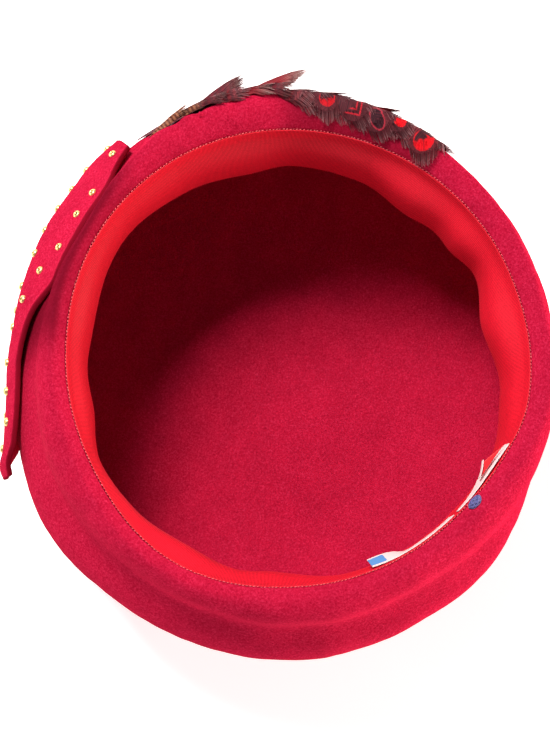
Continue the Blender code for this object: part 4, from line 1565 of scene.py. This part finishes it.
@dataclass
class FeatherTrim:
    """Short pheasant feathers in overlapping rows, from the brim's inner slope down the side."""

    form: HatForm
    vane_steps: tuple = (26, 17)
    vane_end: float = 0.76  # share of the length where the closed web ends
    web_thickness: float = 0.14
    fringe_count: int = 54
    fringe_steps: int = 5
    fringe_width: float = 0.34
    # The trim's edges as lengths from the crest: turn, top edge, bottom edge.
    edges: tuple = (
        (55.0, -3.0, 44.0), (59.0, -6.0, 52.0), (65.0, -7.0, 62.0), (72.0, -7.5, 68.0), (80.0, -7.0, 71.0),
        (86.0, -4.5, 72.5), (92.0, -1.0, 73.0), (98.0, 0.8, 71.0), (104.0, 2.5, 68.0), (110.0, 4.2, 64.0),
        (118.0, 7.0, 54.0), (122.0, 9.0, 47.0),
    )
    # How the first row's feathers turn from over the brim to along it: turn, heading.
    headings: tuple = (
        (53.0, 50.0), (66.0, 44.0), (80.0, 46.0), (87.0, 38.0), (93.0, 20.0), (104.0, 12.0), (122.0, 8.0),
    )
    # The rows down the side: the turns between which they run, in degrees, and the step and the
    # shift of each other row; then millimetres from the top edge to the first row, from row to row
    # and kept clear of the bottom edge.
    row_count: int = 8
    row_seed: int = 21
    row_turns: tuple = (57.0, 119.0)
    row_step: float = 4.9
    row_shift: float = 2.4
    row_start: float = 6.0
    row_pitch: float = 8.6
    row_margin: float = 5.0
    row_top: float = 0.5  # the least reach that a top edge counts as
    row_jitter: tuple = (0.7, 1.2, 8.0)  # of turn, reach and heading
    row_heading: tuple = (0.72, 0.07)  # share of the first row's heading, less this for each row
    # Each one's value and how far it varies.
    row_sizes: tuple = ((22.0, 1.6), (5.4, 0.5))  # length and half width
    row_lifts: tuple = ((0.75, 0.2), (2.3, 0.25))  # at the root and the tip
    # Feathers on the brim's inner slope and along its crest, placed one by one.
    shown: tuple = (
        Feather(83.6, -0.2, 78.0, Marking.EYE, 22.5, 5.4, 1.2, 2.2),
        Feather(77.0, -1.2, 42.0, Marking.CHEVRON, 22.0, 5.8, 1.4, 2.4),
        Feather(71.4, -2.4, 40.0, Marking.RING, 21.5, 5.4, 1.6, 2.4),
        Feather(66.6, 0.9, 26.0, Marking.SPOT, 20.0, 5.2, 1.2, 2.2),
        Feather(59.6, -1.4, 52.0, Marking.BIG_EYE, 23.5, 6.2, 1.5, 2.6),
        Feather(64.0, -0.4, 40.0, Marking.PLAIN, 20.0, 5.0, 0.8, 1.8),
        Feather(57.6, 3.6, 30.0, Marking.PLAIN, 14.0, 4.0, 0.5, 1.0),
        Feather(88.6, 1.4, 50.0, Marking.PLAIN, 24.0, 5.6, 0.7, 1.5),
        Feather(91.6, 2.6, 32.0, Marking.PLAIN, 24.0, 5.4, 0.9, 2.0, 4.0),
        Feather(80.6, 0.4, 56.0, Marking.PLAIN, 23.0, 5.6, 0.7, 1.5),
        Feather(75.0, 0.0, 50.0, Marking.PLAIN, 22.5, 5.8, 0.6, 1.4),
        Feather(69.4, 0.4, 44.0, Marking.PLAIN, 22.0, 5.6, 0.6, 1.4),
        Feather(62.6, 0.0, 46.0, Marking.PLAIN, 21.0, 5.6, 0.6, 1.4),
        Feather(86.0, 0.2, 62.0, Marking.PLAIN, 21.0, 5.0, 0.5, 1.2),
        Feather(95.6, 4.0, 12.0, Marking.BARRED, 24.0, 4.6, 3.2, 4.8, 24.0),
        Feather(100.6, 4.2, 10.0, Marking.RED_STREAKED, 24.0, 4.4, 3.2, 4.2, 24.0),
        Feather(105.8, 3.6, 9.0, Marking.PLAIN, 23.0, 4.6, 3.0, 3.8, 34.0),
        Feather(110.2, 4.2, 9.0, Marking.BARRED, 22.0, 4.2, 3.2, 4.0, 26.0),
        Feather(114.4, 4.4, 8.0, Marking.BROWN_BARRED, 20.0, 3.8, 2.6, 3.2, 28.0),
        Feather(118.4, 4.2, 5.0, Marking.BROWN_BARRED, 18.0, 3.6, 1.5, 4.6, 30.0),
        Feather(82.6, 4.6, 2.0, Marking.PLAIN, 15.0, 1.8, 1.4, 3.8, sweep=2.0),
        Feather(70.4, 4.6, 3.0, Marking.PLAIN, 15.0, 2.0, 1.4, 4.8, sweep=2.0),
    )
    # Feathers that stand up past the hat's outline.
    standing: tuple = (
        Feather(104.8, 31.0, 3.0, Marking.BARRED, 21.0, 3.7, 3.4, 10.8, 40.0, 1.0, 3.0),
        Feather(93.6, 29.0, 4.0, Marking.RED_STREAKED, 25.0, 4.2, 3.8, 12.4, 34.0, 1.0, 4.0),
    )
    surface_field: TrimField = field(init=False)

    def __post_init__(self) -> None:
        """Works out the form under the feathers."""
        self.surface_field = TrimField(self.form)

    def rows(self) -> list[Feather]:
        """The feathers of the rows: even steps along the hat, with a seeded jitter.

        Returns:
            The feathers, the row nearest the crest first and each row from its clockwise end.
        """
        chance = np.random.default_rng(self.row_seed)
        kinds = (Marking.EYE, Marking.PLAIN, Marking.RING, Marking.BARRED, Marking.CHEVRON, Marking.SPOT)
        first, last = self.row_turns
        turn_jitter, reach_jitter, heading_jitter = self.row_jitter
        made = []
        for row in range(self.row_count):
            turns = np.arange(first + self.row_shift * (row % 2), last, self.row_step)
            turns = turns + chance.uniform(-turn_jitter, turn_jitter, len(turns))
            top, bottom = (table_curve(self.edges, column, turns) for column in (1, 2))
            reach = np.maximum(top, self.row_top) + self.row_start + self.row_pitch * row
            reach = reach + chance.uniform(-reach_jitter, reach_jitter, len(turns))
            heading = table_curve(self.headings, 1, turns) * (self.row_heading[0] - self.row_heading[1] * row)
            heading = heading + chance.uniform(-heading_jitter, heading_jitter, len(turns))
            size = chance.uniform(-1, 1, len(turns))
            for number in np.nonzero(reach < bottom - self.row_margin)[0]:
                made.append(Feather(
                    float(turns[number]), float(reach[number]), float(heading[number]),
                    kinds[(number * 2 + row) % len(kinds)],
                    *(value + change * float(size[number]) for value, change in self.row_sizes),
                    *(value + change * (number % 2) for value, change in self.row_lifts),
                ))
        return made

    def lay(self, feather: Feather, x: Array, y: Array, z: Array) -> Array:
        """Lays points of a flat feather on the hat.

        Formula: the feather's own lengths ahead and to its left become an arc round the hat and a
        length over it, and its height an offset along the form's normal. Its lift grows from root
        to tip with a slight upward curve, and its roll turns right into up.

        Args:
            feather: the feather.
            x: millimetres ahead of the root.
            y: millimetres to the left.
            z: millimetres above the feather's own plane.

        Returns:
            Points in metres.
        """
        roll = math.radians(feather.roll)
        share = x / feather.length
        lift = feather.lift + (feather.tip_lift - feather.lift) * (0.6 * share + 0.4 * share * np.abs(share))
        up = lift + z * math.cos(roll) - y * math.sin(roll)
        y = y * math.cos(roll) + z * math.sin(roll)
        x = x - FEATHER_FINISHES[feather.kind].centre * feather.length
        heading = math.radians(feather.heading)
        round_ = x * math.cos(heading) - y * math.sin(heading)
        rimward = x * math.sin(heading) + y * math.cos(heading)
        about = self.surface_field.read(np.array([feather.turn]), np.array([feather.reach]))[0][0]
        turn = feather.turn - np.degrees(round_ / about)
        radius, depth, out, down = self.surface_field.read(turn, feather.reach - rimward)
        return self.form.place(turn, radius + up * out, depth + up * down)

    @staticmethod
    def outline(share: Array) -> Array:
        """The half width at a share of the length: a rounded spade, narrow at the quill."""
        spade = (
            (-0.1, 0.05), (0.0, 0.12), (0.12, 0.5), (0.3, 0.86), (0.5, 1.0), (0.68, 0.96), (0.84, 0.7),
            (1.0, 0.1),
        )
        return table_curve(spade, 1, share)

    def vane(self, feather: Feather, seed: int) -> Surface:
        """The closed web of barbs, a thin cambered leaf.

        Formula: rows across the quill out to the outline, which the rounded end of the web cuts
        short. The `barb` mark is the length along the quill less the barbs' sweep, so that it is
        the same all along one barb.

        Args:
            feather: the feather.
            seed: its own number, which shifts the mark.

        Returns:
            The vane, with a UV of (share of the length, side).
        """
        rows, columns = self.vane_steps
        end = self.vane_end + 0.16 * feather.blunt
        share = end * edged(1.0, 0.08, 3, rows - 5)
        side = edged(2.0, 0.12, 2, columns - 3) - 1.0
        share, side = np.meshgrid(share, side, indexing="ij")
        curve = 2.4 + 3.0 * feather.blunt
        rounded = np.sqrt(np.clip(1 - np.clip((share - 0.5) / (end - 0.49), 0, 1) ** curve, 0.0, 1.0))
        x = share * feather.length
        y = side * feather.half_width * self.outline(share * (1 - 0.28 * feather.blunt)) * rounded
        z = -0.5 * (y / feather.half_width) ** 2
        thickness = np.full(share.shape, self.web_thickness * MM)
        thickness[[0, -1]] = 0.0
        thickness[:, [0, -1]] = 0.0
        surface = leaf(self.lay(feather, x, y, z), thickness)
        inside = np.zeros(share.shape, bool)
        inside[1:-1, 1:-1] = True
        uv = np.stack((share, 0.5 + 0.5 * y / feather.half_width), -1)
        barb = x / feather.sweep - 0.9 * np.abs(y) + 37.0 * seed + 500.0 * (y > 0)
        surface.uv = np.concatenate((uv.reshape(-1, 2), uv[inside]))
        surface.marks = {"barb": np.concatenate((barb.ravel(), barb[inside]))}
        return surface

    def fringe(self, feather: Feather, seed: int) -> Surface:
        """The loose barbs over the end of the web and past it, each a tapering three-sided blade.

        Formula: blades start on the web across its width and fan out to the outline. Their ends
        are pushed along and aside by random clumps shared with their neighbours, a few barbs and
        a dozen wide, which split the fringe, and by a little of their own.

        Args:
            feather: the feather.
            seed: its own seed.

        Returns:
            The blades, with a UV of (share of the length, side) and a `barb` mark for each.
        """
        chance = np.random.default_rng(seed)
        count, steps = self.fringe_count, self.fringe_steps
        place = np.sort(np.clip(np.linspace(-1, 1, count) + chance.normal(0, 0.03, count), -1, 1))
        number = np.arange(count)
        clumps = (np.arange(0, count + wide, wide) for wide in (3, 11))
        few, dozen = (np.interp(number, starts, chance.normal(0, 1, len(starts))) for starts in clumps)
        clump = 0.6 * few + 0.8 * dozen
        root_share = 0.48 + 0.1 * (1 - place**2) + 0.24 * feather.blunt + chance.uniform(-0.04, 0.04, count)
        root_x = feather.length * root_share
        body_share = root_share * (1 - 0.28 * feather.blunt)
        root_y = place * 0.88 * feather.half_width * self.outline(body_share)
        curve = 2.2 + 2.0 * feather.blunt
        end_share = 0.8 + 0.17 * (1 - np.abs(place) ** curve) + 0.03 * clump + chance.normal(0, 0.02, count)
        end_share = np.minimum(end_share + 0.06 * feather.blunt, 1.04)
        end_x = feather.length * end_share
        drawn_in = 1 - 0.2 * (1 - feather.blunt) * (1 - np.abs(place))
        end_y = feather.half_width * (0.95 * place * drawn_in + 0.07 * clump + chance.normal(0, 0.02, count))
        t = np.linspace(0, 1, steps + 1)
        x = root_x[:, None] + (end_x - root_x)[:, None] * t
        y = root_y[:, None] + (end_y - root_y)[:, None] * (0.75 * t + 0.25 * t**2)
        length = np.hypot(end_x - root_x, end_y - root_y)[:, None]
        ahead = np.stack((end_x - root_x, end_y - root_y), -1) / length
        width = self.fringe_width * (1 - 0.15 * t - 0.6 * t**3)
        stray = chance.normal(0, 1, (count, 1))
        camber = 0.04 - 0.5 * (y / feather.half_width) ** 2
        z = camber + 0.03 * stray + 0.1 * np.abs(stray) * t**2 - 0.3 * t**2
        corners = np.array([-0.5, 0.5, 0.0])
        px = x[..., None] + ahead[:, 1][:, None, None] * corners * width[None, :, None]
        py = y[..., None] - ahead[:, 0][:, None, None] * corners * width[None, :, None]
        pz = z[..., None] + np.array([0.0, 0.0, 0.1]) * (1.2 - t)[:, None]
        points = self.lay(feather, px, py, pz)
        numbers = np.arange(px.size).reshape(-1, steps + 1, 3)
        faces = [quads(numbers, around=True), numbers[:, 0, ::-1], numbers[:, -1]]
        uv = np.stack((px / feather.length, 0.5 + 0.5 * py / feather.half_width), -1).reshape(-1, 2)
        barb = np.broadcast_to((0.62 * number + 37.0 * seed)[:, None, None], px.shape)
        return Surface(points.reshape(-1, 3), faces, uv, {"barb": barb.ravel().copy()}).turned_out()

    def quill(self, feather: Feather, seed: int) -> Surface:
        """The quill, a thin tapering tube up to two thirds of the feather.

        Args:
            feather: the feather.
            seed: its own number, which shifts the mark.

        Returns:
            The tube, with a UV of (share of the length, middle).
        """
        reach = np.linspace(-0.06, 0.64, 10)
        line = self.lay(feather, reach * feather.length, 0 * reach, 0.14 + 0 * reach)
        surface = tube(line, (0.26 - 0.28 * np.clip(reach, 0, 1)) * MM, 5)
        surface.uv = np.stack((np.repeat(reach, 5), np.full(len(reach) * 5, 0.5)), -1)
        surface.marks = {"barb": np.full(len(surface.points), 37.0 * seed + 0.4)}
        return surface

    def build(self) -> None:
        """Makes the feathers, a piece for each marking, in place of the CAD's trim and tips."""
        groups = {kind: [] for kind in Marking}
        for seed, feather in enumerate([*self.rows(), *self.shown, *self.standing]):
            groups[feather.kind] += [
                self.vane(feather, seed), self.fringe(feather, 100 + seed), self.quill(feather, seed),
            ]
        for kind, surfaces in groups.items():
            name = f"feathers_{kind.value}"
            add_piece(name, joined(surfaces), FEATHER_FINISHES[kind])
        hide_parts("feather_trim")
        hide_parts("feather_tip_1")
        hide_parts("feather_tip_2")


# ---- Labels and thread ----

@dataclass
class Labels:
    """The blank woven labels inside the back of the brim."""

    form: HatForm
    thickness: float = 0.35
    # Flat sizes in metres, across and along; a side under 10 mm is given as 10 mm. 10 mm is the
    # least side that a sheet may have.
    long_flat: tuple = (0.010, 0.040)
    folded_flat: tuple = (0.010, 0.035)
    folded_area: float = 0.00024  # square metres of its uneven outline
    end_length: float = 40.0  # length by which a tape's ends are rounded
    # Turn, distance inside the rim, depth of the upper edge, width and lean from upright.
    long_rows: tuple = (
        (288.6, 1.3, 1.0, 8.4, 24.0), (292.5, 0.95, 0.9, 8.8, 24.0), (295.5, 0.85, 0.8, 9.0, 17.0),
        (298.5, 0.85, 0.8, 9.0, 3.0), (303.0, 0.85, 0.8, 9.0, 1.0), (310.0, 0.85, 0.8, 9.0, 0.0),
        (313.5, 0.85, 0.8, 9.0, 0.0),
    )
    folded_rows: tuple = (
        (314.6, 0.85, 0.4, 3.6, 1.0), (319.0, 0.9, 0.4, 5.4, 3.0), (322.5, 1.1, 0.4, 6.8, 5.0),
        (325.5, 1.3, 0.4, 7.8, 9.0), (328.5, 1.4, 0.4, 8.0, 15.0), (331.5, 1.3, 0.4, 6.8, 16.0),
        (334.5, 1.05, 0.3, 5.2, 12.0), (336.6, 0.9, 0.2, 4.4, 8.0),
    )
    # The corner that the fold turns back, standing out from the folded label.
    spur_rows: tuple = ((325.0, 3.0, 0.6, 2.6, 0.0), (327.2, 4.3, 0.5, 2.5, 0.0), (329.6, 6.1, 0.5, 2.2, 0.0))
    # Corners of the fold's red back: turn, distance inside the rim and depth.
    back_corners: tuple = ((325.4, 3.2, 1.6), (329.4, 5.7, 1.4), (325.8, 3.0, 1.6), (335.4, 2.7, 1.0))

    def tape(self, rows: tuple, steps: int) -> Surface:
        """A length of tape standing along the rim.

        Formula: its upper edge runs inside the rim by the table, and its width goes down from
        there, leaning in by the table's angle.

        Args:
            rows: the tape's table.
            steps: columns along it.

        Returns:
            The closed tape.
        """
        turn = np.linspace(rows[0][0], rows[-1][0], steps)
        inside, depth, width, lean = (table_curve(rows, column, turn) for column in (1, 2, 3, 4))
        across = edged(1.0, 0.04, 3, 12)[:, None]
        reach = across * width
        slant = np.radians(lean)
        radius = self.form.level("rim", turn) - inside - self.thickness / 2 - reach * np.sin(slant)
        grid = self.form.place(turn[None] + 0 * across, radius, depth + reach * np.cos(slant))
        ends = np.linspace(0, 1, steps)
        to_end = np.minimum(ends, 1 - ends) * self.end_length
        inset = np.minimum(np.minimum(across, 1 - across) * width, to_end)
        return leaf(grid, rounded_thickness(inset, self.thickness, 0.25) * MM)

    def back(self) -> Surface:
        """The three-cornered piece of the fold that shows its back.

        Formula: a grid between two straight sides that start together.

        Returns:
            The closed piece.
        """
        corners = np.array(self.back_corners)
        turn, inside, depth = corners.T
        places = self.form.place(turn, self.form.level("rim", turn) - inside, depth)
        along = edged(1.0, 0.04, 3, 12)[:, None, None]
        across = edged(1.0, 0.04, 3, 8)[None, :, None]
        grid = (1 - across) * (places[0] + along * (places[1] - places[0])) + across * (
            places[2] + along * (places[3] - places[2])
        )
        inset = np.minimum(np.minimum(along, 1 - along), np.minimum(across, 1 - across))[..., 0]
        return leaf(grid, rounded_thickness(inset, 0.25, 0.04) * MM)

    def build(self) -> None:
        """Makes both labels in place of the CAD's."""
        long_label = add_piece("label_tape_long", self.tape(self.long_rows, 90), STRIPED_TAPE)
        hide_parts("label_long")
        folded = add_piece("label_tape_folded", self.tape(self.folded_rows, 60), TAPE)
        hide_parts("label_folded")
        spur = add_piece("label_tape_spur", self.tape(self.spur_rows, 20), TAPE)
        back = add_piece("label_tape_back", self.back(), RED_TAPE)


@dataclass
class ThreadKnot:
    """The knot of blue thread on the stitching at the back."""

    form: HatForm
    place: tuple = (319.0, 90.5, -1.3)  # turn, radius and depth
    half_sizes: tuple = (3.5, 1.9, 1.5)  # along the rim, across it and up
    thread: float = 0.36
    windings: int = 9

    def surface(self) -> Surface:
        """The thread, wound into a ball, over a plain core.

        Formula: a closed line on a ball that swings from pole to pole while it goes round, pulled
        to the knot's half sizes, with a round tube along it. The core is a smaller ball.

        Returns:
            The thread and the core as one surface.
        """
        centre = self.form.place(*(np.array(part) for part in self.place))
        angle = math.radians(self.place[0])
        ahead = (-math.sin(angle), math.cos(angle), 0.0)
        outward = (math.cos(angle), math.sin(angle), 0.0)
        axes = np.array((ahead, outward, (0.0, 0.0, 1.0))) * np.array(self.half_sizes)[:, None] * MM
        t = np.linspace(0, 2 * math.pi, 60 * self.windings, endpoint=False)
        swing = 0.46 * math.pi * np.sin((self.windings - 2) * t)
        around = self.windings * t
        path = np.stack((np.sin(swing), np.cos(swing) * np.cos(around), np.cos(swing) * np.sin(around)), -1)
        shrink = 0.82 + 0.06 * np.cos(5 * t)[:, None]
        thread = tube(centre + (path * shrink) @ axes, np.full(len(t), self.thread * MM), 7, closed=True)
        polar, round_ = np.meshgrid(
            np.linspace(0.12, math.pi - 0.12, 12), np.arange(18) * math.pi / 9, indexing="ij",
        )
        ball = np.stack((np.cos(polar), np.sin(polar) * np.cos(round_), np.sin(polar) * np.sin(round_)), -1)
        numbers = np.arange(polar.size).reshape(polar.shape)
        cut_edge_shade_colour = Surface(
            (centre + (0.78 * ball) @ axes).reshape(-1, 3),
            [quads(numbers, around=True), numbers[:1, ::-1], numbers[-1:]],
            np.zeros((polar.size, 2)),
        ).turned_out()
        return joined([thread, cut_edge_shade_colour])

    def build(self) -> None:
        """Makes the knot in place of the CAD's."""
        knot = add_piece("thread_knot_wound", self.surface(), BLUE_THREAD)
        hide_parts("thread_knot")


# ---- The studio ----

@dataclass(frozen=True)
class SoftLight:
    """A square soft light, by its direction from the hat, its distance, side, power and colour."""

    name: str
    turn: float
    elevation: float
    distance: float
    side: float
    power: float
    colour: str = "#ffffff"

    def build(self) -> None:
        """Hangs the light, facing the hat."""
        data = bpy.data.lights.new(self.name, "AREA")
        data.size = self.side
        data.energy = self.power
        data.color = linear(self.colour)[:3]
        light = bpy.data.objects.new(self.name, data)
        turn, elevation = math.radians(self.turn), math.radians(self.elevation)
        way = Vector((
            math.cos(turn) * math.cos(elevation), math.sin(turn) * math.cos(elevation), math.sin(elevation),
        ))
        light.location = way * self.distance + Vector((0.0, 0.0, 0.05))
        light.rotation_euler = way.to_track_quat("Z", "Y").to_euler()
        bpy.context.scene.collection.objects.link(light)


@dataclass
class Studio:
    """The floor, the lights and the camera."""

    lights: tuple = (
        SoftLight("key_light", 127.0, 55.0, 1.3, 0.42, 25.0, "#fff8f6"),
        SoftLight("right_light", -8.0, 9.0, 1.2, 0.5, 25.0, "#ffe6da"),
        SoftLight("front_light", 270.0, 9.0, 1.3, 0.5, 5.5, "#fff6f6"),
        SoftLight("left_light", 180.0, 9.0, 1.3, 0.5, 3.5, "#ffffff"),
        SoftLight("back_light", 90.0, 9.0, 1.3, 0.5, 1.5, "#ffffff"),
    )
    world_shade: str = "#eaecff"
    world_strength: float = 0.2
    floor_half: float = 6.0
    floor_gap: float = 0.0002
    floor_lines: int = 5
    camera_place: tuple = (-0.0492, -0.1105, 0.5902)
    camera_target: tuple = (-0.00906, -0.00698, 0.105)
    lens: float = 62.54
    sensor: float = 36.0

    def floor(self) -> None:
        """Lays the floor just under the hat: one flat square, as a coarse grid."""
        line = np.linspace(-self.floor_half, self.floor_half, self.floor_lines)
        x, y = np.meshgrid(line, line, indexing="ij")
        points = np.stack((x, y, np.full_like(x, -self.floor_gap)), -1).reshape(-1, 3)
        surface = Surface(points, [quads(np.arange(x.size).reshape(x.shape))])
        mesh = surface.mesh("studio_floor")
        mesh.materials.append(PaleBoard("opal_acrylic_board_matt").material())
        floor = bpy.data.objects.new("studio_floor", mesh)
        bpy.context.scene.collection.objects.link(floor)

    def world(self) -> None:
        """Sets an even pale surround."""
        world = bpy.data.worlds.new("studio_world")
        world.use_nodes = True
        background = world.node_tree.nodes["Background"]
        background.inputs["Color"].default_value = linear(self.world_shade)
        background.inputs["Strength"].default_value = self.world_strength
        bpy.context.scene.world = world

    def camera(self) -> None:
        """Sets the camera above the hat, looking down into it."""
        data = bpy.data.cameras.new("camera")
        data.lens = self.lens
        data.sensor_width = self.sensor
        data.clip_start = 0.01
        camera = bpy.data.objects.new("camera", data)
        place, target = Vector(self.camera_place), Vector(self.camera_target)
        back = (place - target).normalized()
        right = Vector((0.0, 1.0, 0.0)).cross(back).normalized()
        camera.location = place
        camera.rotation_euler = Matrix((right, back.cross(right), back)).transposed().to_euler()
        bpy.context.scene.collection.objects.link(camera)
        bpy.context.scene.camera = camera

    def build(self) -> None:
        """Builds the studio."""
        self.floor()
        self.world()
        self.camera()
        for light in self.lights:
            light.build()
        bpy.context.scene.view_settings.view_transform = "Standard"


def main() -> None:
    """Builds the hat's pieces in order, and the studio round them."""
    logging.basicConfig(level=logging.INFO, format="%(name)s %(message)s")
    for part in (FeltShell, Sweatband, FeltWing, FeatherTrim, Labels, ThreadKnot):
        part(FORM).build()
    Studio().build()


if __name__ == "__main__":
    main()
